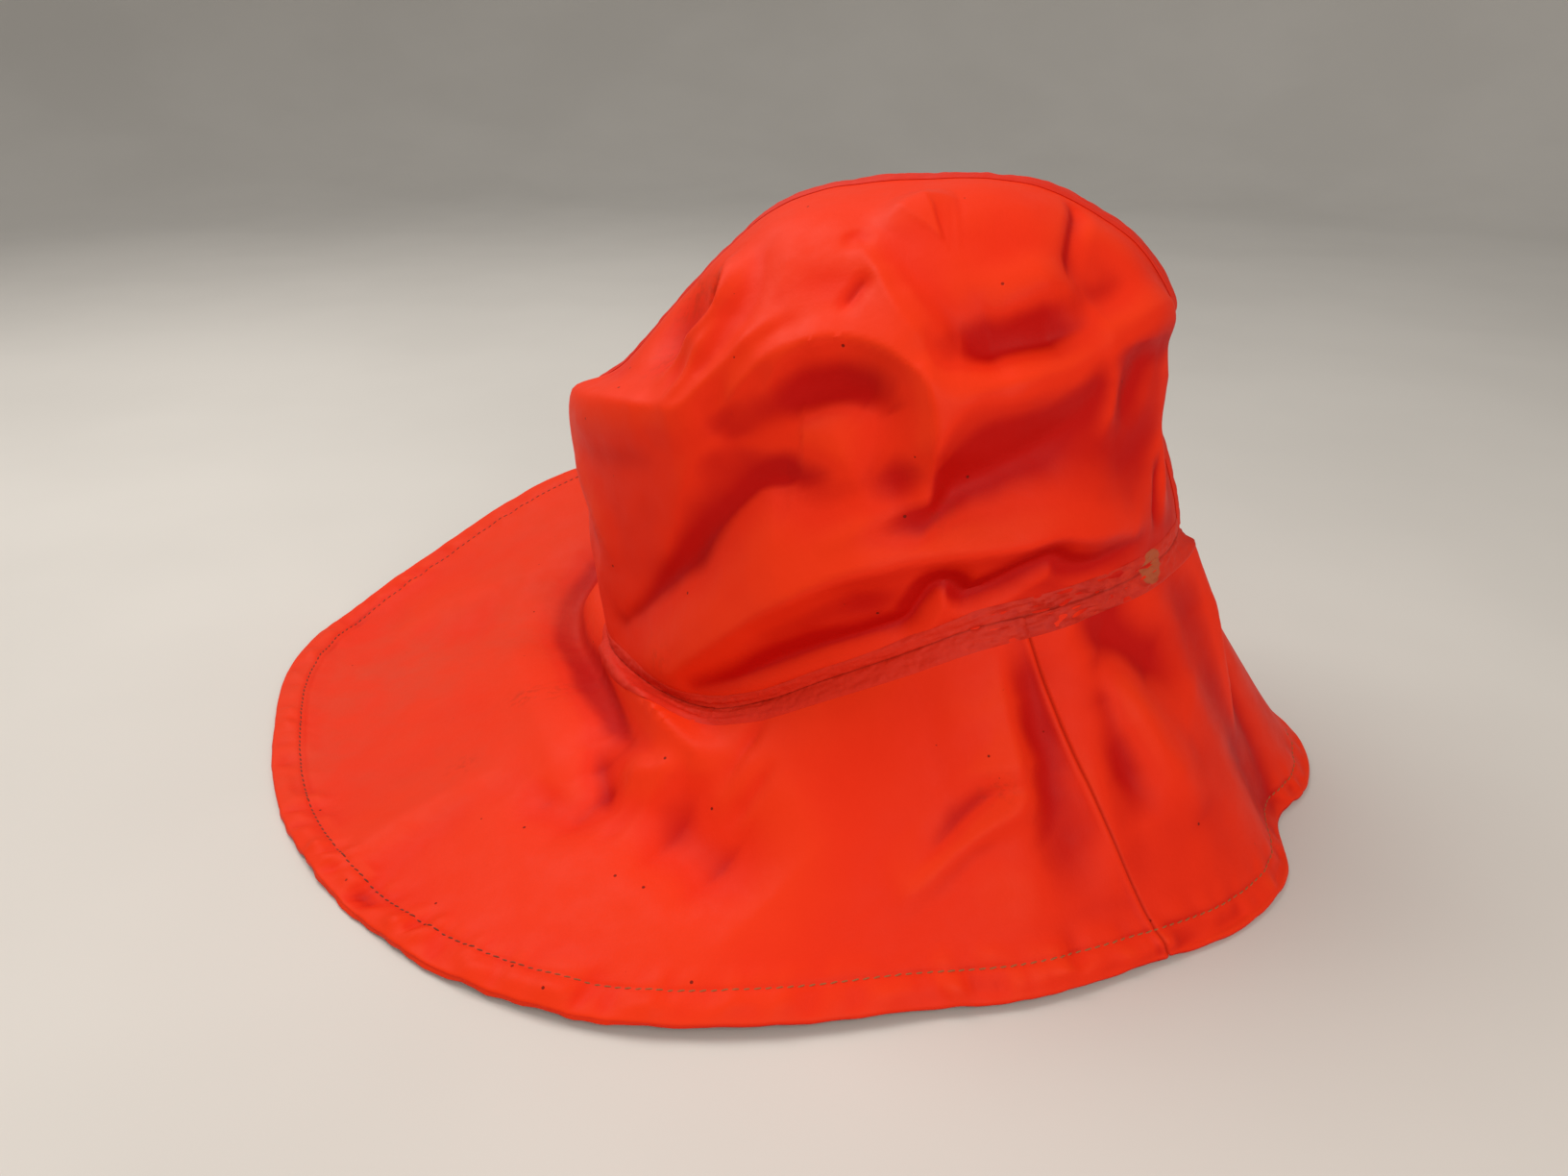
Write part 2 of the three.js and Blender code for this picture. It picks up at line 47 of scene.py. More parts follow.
# the cut of the hat
hat = {
    "ringLong": 99,  # half the length of the head opening
    "ringWide": 79,
    "axisX": 50,
    "topHeight": 203.5,
    "topSlope": 0.07,
    "sideSeamTop": 50,  # angle of the brim's side seams at the crown
    "sideSeamFoot": 42,  # and at the edge
    "shift": (-4, 1, 0),  # from the table's axes to the frame's
    "cloth": 1.0,  # thickness of the coated cloth
}

# height of the seam between crown and brim, by angle
seamHeights = {
    0: 97, 30: 95, 45: 91, 60: 86, 90: 68, 120: 50, 150: 44, 180: 40, 210: 46, 240: 48.5,
    255: 57, 270: 69, 285: 79, 300: 88, 315: 92, 330: 95, 345: 97,
}

# the brim's outer edge by angle: reach from the axis, height, and how far the brim bells out
edgeStations = {
    3: (157, 0, 0.3),
    12: (161, 0, 0.2),
    22: (158, 0, 0.1),
    32: (150, 0, 0.1),
    46: (141, 0, 0.15),
    60: (138, 0, 0.2),
    75: (141, 3, 0.2),
    90: (151, 10, 0.2),
    105: (166, 24, 0.3),
    120: (184, 40, 0.4),
    135: (202, 50, 0.5),
    145: (214, 48, 0.6),
    155: (226, 34, 0.7),
    165: (243, 14, 0.8),
    173: (252, 2, 0.9),
    182: (247, 0, 1),
    195: (228, 0, 1),
    210: (211, 1, 0.9),
    225: (195, 2, 0.7),
    240: (182, 4, 0.5),
    255: (169, 5, 0.4),
    270: (154, 5, 0.3),
    285: (143, 4, 0.2),
    300: (142, 3, 0.2),
    315: (143, 2, 0.2),
    330: (150, 0, 0.1),
    342: (152, 0, 0.2),
    352: (146, 0, 0.3),
}

# the crown's sections by their share of its height: reach at 0, 45, 90 and so on to 315 degrees
crownSections = {
    0: (99, 87, 79, 87, 99, 87, 79, 87),
    0.06: (98, 86, 81, 89, 101, 88, 81, 86),
    0.18: (94, 85, 82, 91, 104, 88, 82, 85),
    0.35: (87, 82, 80, 92, 107, 86, 80, 82),
    0.55: (86, 80, 75, 90, 107, 84, 75, 80),
    0.65: (88, 76, 67, 81, 88, 77, 67, 76),
    0.78: (78, 67, 57, 67, 68, 65, 57, 67),
    0.88: (64, 55, 45, 52, 52, 52, 45, 54),
    0.95: (50, 42, 32, 38, 37, 38, 32, 41),
    0.985: (34, 25, 18, 21, 21, 21, 18, 25),
    1: (0, 0, 0, 0, 0, 0, 0, 0),
}

# Each fold lifts the cloth along a path: lift, how far it fades out on the left and on the right of
# the path seen from outside, rounding of its crest, strength at 0, 0.3, 0.7 and 1 of the path, path.
# Paths on the crown are of angle and height.
fadesOut = (0, 1, 1, 0)
rightFolds = {
    "rim of the neck dent": (5.5, 12, 8, 0.5, (0.8, 1, 1, 0.3), [
        (222, 178), (226, 177), (229, 173), (229.5, 169), (228, 165), (225, 161), (223, 157),
        (221.5, 152)]),
    "second rim": (2.2, 5, 5, 0.5, fadesOut, [
        (233, 168), (231, 162), (230, 157), (229.5, 151), (228, 145), (226, 141)]),
    "ridge under the neck dent": (5, 14, 11, 0.8, (0.5, 1, 1, 0.2), [
        (230, 141), (233, 145), (236, 151), (240, 157), (243, 162), (247, 167), (252, 171)]),
    "ridge towards the crescent": (3.5, 6, 16, 0.8, (0.2, 1, 1, 0.6), [
        (238, 142), (242, 147), (246, 153), (250, 158), (254.5, 162), (260, 165)]),
    "shelf over the neck": (5, 13, 18, 1.2, (0.8, 1, 1, 0.4), [
        (174, 129), (186, 130), (200, 134), (208, 137), (217, 139.5), (224, 141), (231, 142)]),
    "long neck valley": (-7, 26, 18, 0.6, (0.5, 1, 0.9, 0), [
        (212, 62), (220, 73), (228, 87), (235, 98), (240, 108), (246, 118), (252, 126), (258, 129),
        (263, 129.5), (268, 132), (273, 136)]),
    "ridge beside the long valley": (1.5, 12, 9, 2, (0.3, 1, 1, 0), [
        (213, 68), (222, 84), (229, 102), (232, 117), (236, 130), (242, 136), (252, 138), (264, 140)]),
    "valley under the crescent": (-4.5, 14, 30, 3, (0.9, 1, 0.9, 0.3), [
        (245, 139), (254, 148), (264, 154.5), (273, 156), (280, 153.5), (286, 149)]),
    "crescent": (7, 18, 15, 0.4, (0.4, 1, 1, 0.4), [
        (252, 153), (254.5, 158), (259, 162.5), (266, 166), (274, 166.5), (281.5, 164.5), (287, 160.5),
        (290, 156), (290.5, 150), (290.5, 144)]),
    "soft valley on the neck side": (-2, 9, 9, 3, fadesOut, [
        (226, 192), (232, 184), (235, 176), (234, 168), (233, 160)]),
    "ridge from the top": (4, 8, 15, 0.6, (0.1, 0.9, 1, 0.4), [
        (264, 191), (270, 188), (277, 183), (281, 178), (284, 174), (288, 169), (290, 164), (290.5, 158)]),
    "second line from the top": (1.6, 5, 7, 0.8, fadesOut, [
        (281, 186), (286, 180), (290, 175), (294, 169), (297, 162)]),
    "short crease": (-1.6, 5, 4, 0.6, fadesOut, [
        (277, 182.5), (273, 180), (270, 176), (268, 172)]),
    "edge of the top's front plane": (3, 30, 9, 1.5, (0, 1, 1, 0.2), [
        (312, 201), (300, 200.5), (291, 199), (284, 197), (278, 193.5)]),
    "crease at the top seam": (-2.5, 6, 3.5, 0.5, (1, 1, 0.7, 0), [
        (350, 198), (339, 194), (331, 189), (326, 183)]),
    "hollow under the top": (-7, 19, 13, 1.5, (0.3, 1, 1, 0.1), [
        (297, 166), (303, 166.5), (311, 168), (320, 170), (330, 173)]),
    "brow over that hollow": (2, 13, 7, 2, fadesOut, [
        (303, 176), (308, 178), (315, 180.5), (321, 182.5), (329, 183)]),
    "front corner": (2.5, 10, 20, 1.2, (0.1, 0.7, 1, 0.8), [
        (326, 168), (333, 171), (340, 172), (348, 172), (355, 171)]),
    "front edge ridge": (4.5, 9, 22, 1.5, (0.1, 1, 0.9, 0.1), [
        (352, 170), (351, 158), (349, 146), (348, 134), (347, 121), (346, 106)]),
    "valley down the front": (-1.5, 7, 7, 2, fadesOut, [
        (338, 166), (338, 158), (336, 150), (333, 142)]),
    "cheek over the pocket": (5.5, 16, 19, 1.5, (0.4, 1, 1, 0.2), [
        (290, 124), (290.5, 132), (291.5, 141), (293.5, 149), (297, 154), (303, 157.5), (311, 160),
        (319, 162), (328, 166)]),
    "pocket": (-6, 18, 22, 1, (0.8, 1, 0.9, 0.2), [
        (289, 119), (290.5, 123), (293, 128), (297, 131.5), (303, 134), (309, 137.5), (315, 141.5),
        (321, 147), (328, 155)]),
    "ridge in front of the pocket": (1.5, 7, 6, 1, fadesOut, [
        (328, 168), (330, 156), (330, 147), (327, 138)]),
    "streak at the front edge": (-2, 4, 4, 1, fadesOut, [
        (347, 130), (345, 122), (343.5, 114), (343, 106)]),
    "soft ridge by the pocket": (1.8, 6, 9, 0.8, fadesOut, [
        (290.5, 151), (290.5, 144), (290, 136), (290, 127), (289.5, 121)]),
    "line into the pocket": (1.8, 9, 6, 0.6, (0, 0.7, 1, 1), [
        (268, 113), (274, 118), (281, 123.5), (289, 128)]),
    "roll over the brim seam": (7.5, 22, 15, 1, (0.3, 1, 1, 0.4), [
        (232, 58), (240, 69), (249, 81), (257, 91), (264, 98.5), (271, 105), (278, 109), (285, 111.5),
        (291, 113), (299, 114), (308, 114.5), (316, 114.5), (325, 113), (334, 110)]),
    "valley under the roll": (-4.5, 7, 6, 0.8, (0.2, 1, 1, 0.2), [
        (239, 56), (248, 63), (258, 72), (270, 81), (281, 87), (286.5, 90), (289, 95.5), (291.5, 102),
        (295, 103), (298.5, 98.5), (304, 101), (310, 106), (315, 109), (319, 105.5), (324, 104), (330, 106),
        (336, 107)]),
    "low neck ridge": (2, 12, 12, 2, fadesOut, [
        (188, 120), (198, 110), (206, 98), (212, 82)]),
    "low neck hollow": (-2, 12, 12, 2.5, fadesOut, [
        (186, 100), (196, 92), (204, 78)]),
}
# broad hollows of the crown: middle as angle and height, half their size, lift
rightHollows = {
    "neck dent": ((211, 163), 15, -7),
    "hole in the neck dent": ((220, 174), 6, -5),
    "dimple under the top": ((268, 190), 4, -1.2),
    "beside the front corner": ((335, 183), 13, -4),
    "front plane": ((318, 130), 24, 2),
    "side of the top": ((243, 182), 20, 2.5),
}

# the hidden side is crumpled in the same way
leftFolds = {
    "roll over the brim seam": (7, 24, 13, 2, fadesOut, [
        (22, 112), (40, 110), (62, 104), (90, 92), (118, 74), (140, 62), (156, 58)]),
    "valley under the roll": (-3, 10, 11, 1.5, fadesOut, [
        (30, 102), (62, 94), (90, 80), (118, 62)]),
    "front cheek": (5, 23, 13, 2, fadesOut, [
        (26, 164), (40, 156), (55, 146), (68, 130), (72, 120)]),
    "long slant": (6, 23, 11, 1.2, fadesOut, [
        (80, 152), (92, 162), (108, 163), (120, 154), (132, 142)]),
    "crease from the top": (-3, 10, 15, 1.2, fadesOut, [
        (100, 196), (84, 182), (72, 170), (66, 158)]),
    "hollow under the top": (-5, 11, 27, 1.5, fadesOut, [
        (30, 176), (44, 172), (58, 174)]),
    "neck crease": (-6, 14, 27, 1.8, fadesOut, [
        (108, 130), (122, 122), (134, 106), (142, 88), (150, 68)]),
    "neck ridge": (3, 10, 23, 1.5, fadesOut, [
        (118, 138), (134, 132), (146, 116), (152, 96)]),
    "neck dent ridge": (3.5, 11, 19, 1.2, fadesOut, [
        (138, 176), (140, 164), (138, 152)]),
    "line across the side": (2, 10, 11, 1, fadesOut, [
        (70, 118), (84, 122), (98, 118)]),
}
leftHollows = {
    "middle of the side": ((98, 142), 20, -6),
    "neck dent": ((158, 168), 15, -5),
    "side of the top": ((110, 182), 18, 2.5),
}

# folds of the brim: their paths are of x and y, seen from above
brimFolds = {
    "valley round the neck": (-13, 12, 24, 2.5, (0.5, 1, 1, 0.3), [
        (-84, 50), (-88, 34), (-83, 18), (-73, 2), (-60, -19), (-47, -39), (-31, -61), (-18, -77)]),
    "ridge at the neck seam": (7.5, 9, 12, 0.8, (0.7, 1, 1, 0.4), [
        (-47, -29), (-35, -44), (-22, -58), (-10, -69), (0, -78), (11, -87)]),
    "small hollow": (-5.5, 14, 15, 2, (0.3, 1, 1, 0.3), [
        (-32, -76), (-26, -85), (-20, -94), (-14, -103)]),
    "small swell": (3, 9, 12, 1.5, fadesOut, [
        (-18, -88), (-9, -90), (0, -91), (8, -91)]),
    "long hollow": (-8, 20, 18, 10, (0.4, 1, 1, 0.1), [
        (-4, -103), (10, -109), (26, -117), (44, -127)]),
    "hollow towards the swell": (-4.5, 14, 16, 4, (0.3, 1, 1, 0.2), [
        (-50, -88), (-38, -96), (-27, -103), (-16, -109)]),
    "swell to the hem": (3.5, 30, 14, 2.5, (0.6, 1, 0.8, 0), [
        (-100, -126), (-95, -118), (-88, -104), (-77, -91), (-58, -76)]),
    "swell over the neck": (3, 24, 24, 4, fadesOut, [
        (-88, 46), (-110, 49), (-130, 46), (-156, 32), (-170, 2)]),
    "first faint line": (-1.4, 5, 8, 0.6, fadesOut, [
        (33, -81), (28, -87), (24, -93), (20, -100)]),
    "second faint line": (-1.4, 5, 8, 0.6, fadesOut, [
        (38, -94), (32, -101), (24, -109)]),
    "ridge to the pinch": (6, 10, 22, 1.2, (0.1, 0.8, 1, 1), [
        (98, -72), (102, -78), (106, -83), (109, -87), (111, -90)]),
    "valley from the pinch": (-4, 18, 8, 0.8, (1, 0.9, 0.6, 0), [
        (110, -90), (102, -94), (95, -100), (89, -107), (82, -115)]),
    "ridge under that valley": (2.5, 5, 14, 1, (0.7, 1, 0.8, 0), [
        (109, -94), (101, -100), (94, -106), (87, -113), (79, -121)]),
    "ridge down from the pinch": (3.5, 16, 18, 4, (1, 0.9, 0.6, 0.1), [
        (111, -90), (114, -95), (117, -102), (121, -111)]),
    "valley by the side seam": (-4.5, 18, 18, 6, (0.7, 1, 0.6, 0.3), [
        (108, -76), (112, -84), (116, -91), (121, -98), (126, -104)]),
    "swell by the side seam": (1.5, 11, 11, 2, fadesOut, [
        (122, -74), (130, -80), (136, -87), (140, -96)]),
    "front panel valley": (-5, 15, 13, 4, fadesOut, [
        (120, -58), (129, -55), (138, -51), (148, -46), (159, -40)]),
    "front panel ridge": (2.5, 11, 13, 3, fadesOut, [
        (130, -60), (139, -62), (148, -62), (157, -62), (165, -63)]),
    "front panel hollow": (-2.5, 9, 10, 3, fadesOut, [
        (126, -61), (133, -65), (141, -71), (148, -77)]),
    "front bulge": (6, 8, 24, 1.5, (0.7, 1, 0.5, 0), [
        (152, -1), (159, -3), (165, -8), (171, -13), (177, -20)]),
    "front valley": (-6, 18, 12, 1.6, (0.6, 1, 0.3, 0.1), [
        (156, 9), (165, 6), (175, 0), (188, -8), (200, -16)]),
    "left front ridge": (5, 20, 16, 1.5, fadesOut, [
        (108, 66), (116, 80), (124, 98)]),
    "left side valley": (-5, 20, 18, 1.5, fadesOut, [
        (60, 84), (64, 104), (67, 132)]),
    "left side ridge": (4, 20, 20, 1.5, fadesOut, [
        (22, 84), (14, 110), (2, 142)]),
    "left neck crease": (-4, 16, 18, 1.2, fadesOut, [
        (-34, 58), (-62, 76), (-102, 92)]),
}


def cubic(start, end, slopeStart, slopeEnd, t):
    t2 = t * t
    t3 = t2 * t
    head = (2 * t3 - 3 * t2 + 1) * start + (t3 - 2 * t2 + t) * slopeStart
    return head + (3 * t2 - 2 * t3) * end + (t3 - t2) * slopeEnd


def ease(value, span):
    t = np.clip(value / span, 0, 1)
    return t * t * (3 - 2 * t)


def bump(value, middle, width):
    return np.exp(-((value - middle) / width) ** 2)


def nearAngle(angles, middle, width):
    return bump(np.mod(angles, 360), middle, width)


def distances(line):
    # how far each point of a line is from its start, along the line
    return np.append(0, np.cumsum(np.linalg.norm(np.diff(line, axis=0), axis=1)))


def alongLine(at, steps, values):
    # points or directions between those of a line, at given distances
    return np.stack([np.interp(at, steps, values[:, axis]) for axis in range(3)], axis=-1)


def evenOut(grid, turns):
    # smooths a grid in place along its first axis
    for turn in range(turns):
        grid[1:-1] = (grid[:-2] + 2 * grid[1:-1] + grid[2:]) / 4


def roundCurve(stations, angle, column=0):
    # smooth closed curve through a table over the angle
    at = np.array(list(stations), float)
    value = np.array(list(stations.values()), float).reshape(len(at), -1)[:, column]
    turn = np.mod(angle, 360)
    here = np.searchsorted(at, turn, side="right") - 1
    before, here, after, later = [(here + step) % len(at) for step in (-1, 0, 1, 2)]
    span = np.mod(at[after] - at[here], 360)
    back = np.mod(at[here] - at[before], 360)
    ahead = np.mod(at[later] - at[after], 360)
    slopeHere = (value[after] - value[before]) * span / (back + span)
    slopeNext = (value[later] - value[here]) * span / (span + ahead)
    t = np.mod(turn - at[here], 360) / span
    return cubic(value[here], value[after], slopeHere, slopeNext, t)


def rowCurve(values, place):
    # smooth open curve through evenly placed values
    value = np.array(values, float)
    last = len(value) - 1
    position = np.clip(place, 0, 1) * last
    at = np.minimum(np.floor(position).astype(int), last - 1)
    before = value[np.maximum(at - 1, 0)]
    after = value[np.minimum(at + 2, last)]
    slopeHere = np.where(at == 0, value[1] - value[0], (value[at + 1] - before) / 2)
    slopeNext = np.where(at + 2 > last, value[last] - value[last - 1], (after - value[at]) / 2)
    return cubic(value[at], value[at + 1], slopeHere, slopeNext, position - at)


def betweenSides(reaches, angle):
    # reach at an angle between eight sides, each 45 degrees from the next
    position = np.mod(angle, 360) / 45
    at = np.floor(position).astype(int)

    def side(step):
        return np.take_along_axis(reaches, ((at + step) % 8)[None], axis=0)[0]

    slopeHere = (side(1) - side(-1)) / 2
    slopeNext = (side(2) - side(0)) / 2
    return cubic(side(0), side(1), slopeHere, slopeNext, position - at)


def ovalReach(angle):
    across = hat["ringWide"] * np.cos(np.radians(angle))
    along = hat["ringLong"] * np.sin(np.radians(angle))
    return hat["ringLong"] * hat["ringWide"] / np.hypot(across, along)


def fromAxis(angle, reach, height):
    x = hat["axisX"] + reach * np.cos(np.radians(angle))
    y = reach * np.sin(np.radians(angle))
    return np.stack(np.broadcast_arrays(x, y, height), axis=-1)


def signedAngle(angle):
    return np.mod(angle + 180, 360) - 180


def angleBelow(angle):
    # the side seams lean forward, so the edge's angle differs from the seam's
    away = np.abs(signedAngle(angle))
    top = hat["sideSeamTop"]
    foot = hat["sideSeamFoot"]
    share = (180 - away) / (180 - top)
    behind = np.sign(signedAngle(angle)) * (180 - share * (180 - foot))
    return np.where(away <= top, signedAngle(angle) * foot / top, behind)


def plainBrim(angle, down):
    # the brim without its folds, at a share of the way down to its edge
    seam = fromAxis(angle, ovalReach(angle), roundCurve(seamHeights, angle))
    below = angleBelow(angle)
    reach, height, bell = [roundCurve(edgeStations, below, column) for column in range(3)]
    edge = fromAxis(below, reach, height)
    fall = down + bell * down * (1 - down)
    point = seam + (edge - seam) * down[..., None]
    point[..., 2] = seam[..., 2] + (edge[..., 2] - seam[..., 2]) * fall
    return point


def plainCrown(angle, up):
    # the crown without its folds, at a share of the way up to its top
    rise = rowCurve(list(crownSections), up)
    sections = np.array(list(crownSections.values()), float)
    reaches = np.stack([rowCurve(side, up) for side in sections.T])
    foot = np.stack([np.full(up.shape, side) for side in sections[0]])
    reach = betweenSides(reaches, angle) * ovalReach(angle) / betweenSides(foot, angle)
    seamHeight = roundCurve(seamHeights, angle)
    point = fromAxis(angle, reach, 0.0)
    slope = hat["topSlope"] * (point[..., 0] - hat["axisX"])
    point[..., 2] = seamHeight + (hat["topHeight"] - seamHeight) * rise + slope * rise
    return point


def plainNormals(surface, angles, places):
    # outward on the crown and upward on the brim, from a small step each way
    turn = 0.4
    step = 0.004
    outward = 1 if surface is plainCrown else -1
    around = surface(angles + turn, places) - surface(angles - turn, places)
    after = surface(angles, np.clip(places + step, 0, 1))
    onward = after - surface(angles, np.clip(places - step, 0, 1))
    normal = outward * np.cross(around, onward)
    length = np.linalg.norm(normal, axis=-1, keepdims=True)
    return np.where(length > 1e-6, normal / np.maximum(length, 1e-6), (0.0, 0.0, 1.0))


def brimWidth(angles):
    ones = np.ones_like(angles, float)
    return np.linalg.norm(plainBrim(angles, ones) - plainBrim(angles, 0 * ones), axis=-1)


def crownLength(angles):
    # length of the cloth from the seam to the top, as a rate at the seam
    share = 0.05
    ones = np.ones_like(angles, float)
    return np.linalg.norm(plainCrown(angles, share * ones) - plainCrown(angles, 0 * ones), axis=-1) / share


def edgeLength(angles):
    # length along the brim's edge from the front
    turns = np.arange(0, 361, 1.0)
    edge = plainBrim(turns, np.ones_like(turns))
    return np.interp(np.mod(angles, 360), turns, distances(edge))


def placeOnCrown(angle, height):
    ups = np.linspace(0, 1, 161)
    column = plainCrown(np.full(ups.shape, float(angle)), ups)
    return alongLine(height, column[:, 2], column)


coarseAngles, coarseDowns = np.meshgrid(np.arange(0, 360, 1.0), np.linspace(0, 1, 81), indexing="ij")
coarseBrim = plainBrim(coarseAngles, coarseDowns).reshape(-1, 3)
coarseNormals = plainNormals(plainBrim, coarseAngles, coarseDowns).reshape(-1, 3)


def placeOnBrim(x, y):
    nearest = np.argmin(np.hypot(coarseBrim[:, 0] - x, coarseBrim[:, 1] - y))
    point = coarseBrim[nearest]
    normal = coarseNormals[nearest]
    rise = (normal[0] * (x - point[0]) + normal[1] * (y - point[1])) / normal[2]
    return np.array([x, y, point[2] - rise])


def smoothPath(points):
    # a smooth line through a few points, with five places to a leg
    points = np.array(points, float)
    padded = np.vstack([2 * points[0] - points[1], points, 2 * points[-1] - points[-2]])
    line = []
    for leg in range(len(points) - 1):
        before, here, after, later = padded[leg:leg + 4]
        for t in np.arange(5) / 5:
            line.append(cubic(here, after, (after - before) / 2, (later - here) / 2, t))
    line.append(points[-1])
    return np.array(line)


def withLines(folds, place):
    # each fold with its path as a line of points on the plain cloth
    made = []
    for *settings, path in folds.values():
        line = np.array([place(*station) for station in smoothPath(path)])
        made.append((*settings, line))
    return made


rightCrown = withLines(rightFolds, placeOnCrown)
leftCrown = withLines(leftFolds, placeOnCrown)
brimCreases = withLines(brimFolds, placeOnBrim)


def foldLift(fold, points, normals):
    # how far one fold lifts each point: a tent with a rounded crest over the fold's line
    lift, above, below, crest, force, line = fold
    spread = max(above, below) + 2 * crest
    near = np.all((points > line.min(axis=0) - spread) & (points < line.max(axis=0) + spread), axis=-1)
    here = points[near]
    nearest = np.full(len(here), 1e9)
    along = np.zeros(len(here))
    away = np.zeros((len(here), 3))
    way = np.zeros((len(here), 3))
    legs = len(line) - 1
    for leg in range(legs):
        step = line[leg + 1] - line[leg]
        place = np.clip((here - line[leg]) @ step / (step @ step), 0, 1)
        offset = here - line[leg] - place[:, None] * step
        distance = np.linalg.norm(offset, axis=1)
        closer = distance < nearest
        nearest[closer] = distance[closer]
        along[closer] = (leg + place[closer]) / legs
        away[closer] = offset[closer]
        way[closer] = step / np.linalg.norm(step)
    turn = np.einsum("ij,ij->i", np.cross(way, away), normals[near]) / np.maximum(nearest, 0.01)
    width = below + (above - below) * (0.5 + 0.5 * np.clip(turn, -1, 1))
    strength = np.interp(along, (0, 0.3, 0.7, 1), force)
    fromCrest = np.hypot(nearest, crest) - crest
    lifts = np.zeros(len(points))
    lifts[near] = lift * strength * (1 - np.clip(fromCrest / width, 0, 1)) ** 1.6
    return lifts


def hollowLift(hollow, points):
    middle, half, lift = hollow
    distance = np.linalg.norm(points - placeOnCrown(*middle), axis=1) / half
    return lift * np.exp(-distance ** 3)


def unevenness(points, layers):
    # a small random rise of the cloth in layers, each with its height, length and seed
    rise = 0
    for height, size, seed in layers:
        offset = Vector((seed * 7.3, seed * 3.1, seed * 5.7))
        rise = rise + height * np.array([noise.noise(Vector(point) / size + offset) for point in points])
    return rise


def waves(along, across, longSize, shortSize, seed):
    # noise over a length along the cloth and another across it
    pairs = zip(np.ravel(along) / longSize, np.ravel(across) / shortSize)
    values = np.array([noise.noise(Vector((first, second, seed))) for first, second in pairs])
    return values.reshape(np.shape(along))


def gridNormals(grid, closed=False):
    if closed:
        around = np.roll(grid, -1, axis=0) - np.roll(grid, 1, axis=0)
    else:
        around = np.gradient(grid, axis=0)
    normal = np.cross(around, np.gradient(grid, axis=1))
    return normal / np.maximum(np.linalg.norm(normal, axis=-1, keepdims=True), 1e-9)


def activate(piece):
    bpy.ops.object.select_all(action="DESELECT")
    piece.select_set(True)
    bpy.context.view_layer.objects.active = piece


def meshPiece(name, points, faces, masks):
    mesh = bpy.data.meshes.new(name)
    mesh.from_pydata((points + np.array(hat["shift"])) * mm, [], faces.tolist())
    for mask, values in masks.items():
        layer = mesh.attributes.new(mask, "FLOAT", "POINT")
        layer.data.foreach_set("value", np.ravel(values).astype(np.float32))
    piece = bpy.data.objects.new(name, mesh)
    bpy.context.scene.collection.objects.link(piece)
    return piece


def gridPiece(name, grid, masks, closed=False, flip=False):
    # a sheet from grid[column, row] of points
    columns, rows = grid.shape[:2]
    index = np.arange(columns * rows).reshape(columns, rows)
    after = np.roll(index, -1, axis=0)
    if not closed:
        index = index[:-1]
        after = after[:-1]
    corners = [index[:, :-1], after[:, :-1], after[:, 1:], index[:, 1:]]
    if flip:
        corners.reverse()
    faces = np.stack(corners, axis=-1).reshape(-1, 4)
    return meshPiece(name, grid.reshape(-1, 3), faces, masks)


def thicken(piece, thickness, lining):
    # gives the sheet its thickness on the inner side, with the lining's material there
    activate(piece)
    bpy.ops.object.mode_set(mode="EDIT")
    bpy.ops.mesh.select_all(action="SELECT")
    bpy.ops.mesh.remove_doubles(threshold=0.02 * mm)
    bpy.ops.object.mode_set(mode="OBJECT")
    wall = piece.modifiers.new("wall", "SOLIDIFY")
    wall.thickness = thickness * mm
    wall.offset = -1
    wall.use_even_offset = False
    wall.material_offset = 1 if lining else 0
    bpy.ops.object.modifier_apply(modifier="wall")
    bpy.ops.object.shade_smooth_by_angle(angle=math.radians(50))


def strokes(points, places, marks):
    # how strongly a few dusty or dirty places show at each point, 0 to 1
    flat = points.reshape(-1, 3)
    strength = np.zeros(len(flat))
    for first, second, size, force in marks:
        distance = np.linalg.norm((flat - places(first, second)) / size, axis=1)
        strength = np.maximum(strength, force * np.exp(-distance ** 2))
    return strength


def paintedLightAndShade(grid, normals, depth):
    # painted light and shade: the colour is paler where the cloth faces up towards the key light and stands
    # out, and painted shade keeps it dark red in hollows
    even = grid.copy()
    for turn in range(50):
        evenOut(even, 1)
        evenOut(np.swapaxes(even, 0, 1), 1)
    hollow = np.clip(np.einsum("ijk,ijk->ij", even - grid, normals) / depth, -0.4, 1)
    keyLightFacing = normals @ np.array((-0.5, -0.05, 0.86))
    return np.clip(0.5 + 0.5 * keyLightFacing - 0.65 * hollow, 0, 1)


crown = {
    "columns": 230,
    "rows": 130,
    "calm": 2,  # no folds this near to the centre seam
    "calmFade": 14,  # and the width in which they grow
    "foot": 0.07,  # share of the height in which folds grow above the brim seam
    "topStart": 0.93,
    "top": 0.06,  # and in which they fade at the top
    "uneven": [(0.8, 30, 1), (0.3, 12, 2)],
    "paintedShadeDepth": 3,  # depth of a hollow that gets the full painted shade
    # dirty places: angle, height, half size, strength
    "dirt": [(218, 172, 9, 0.8), (213, 156, 9, 0.4), (200, 170, 10, 0.4), (228, 62, 6, 0.3),
             (292, 124, 6, 0.2)],
}


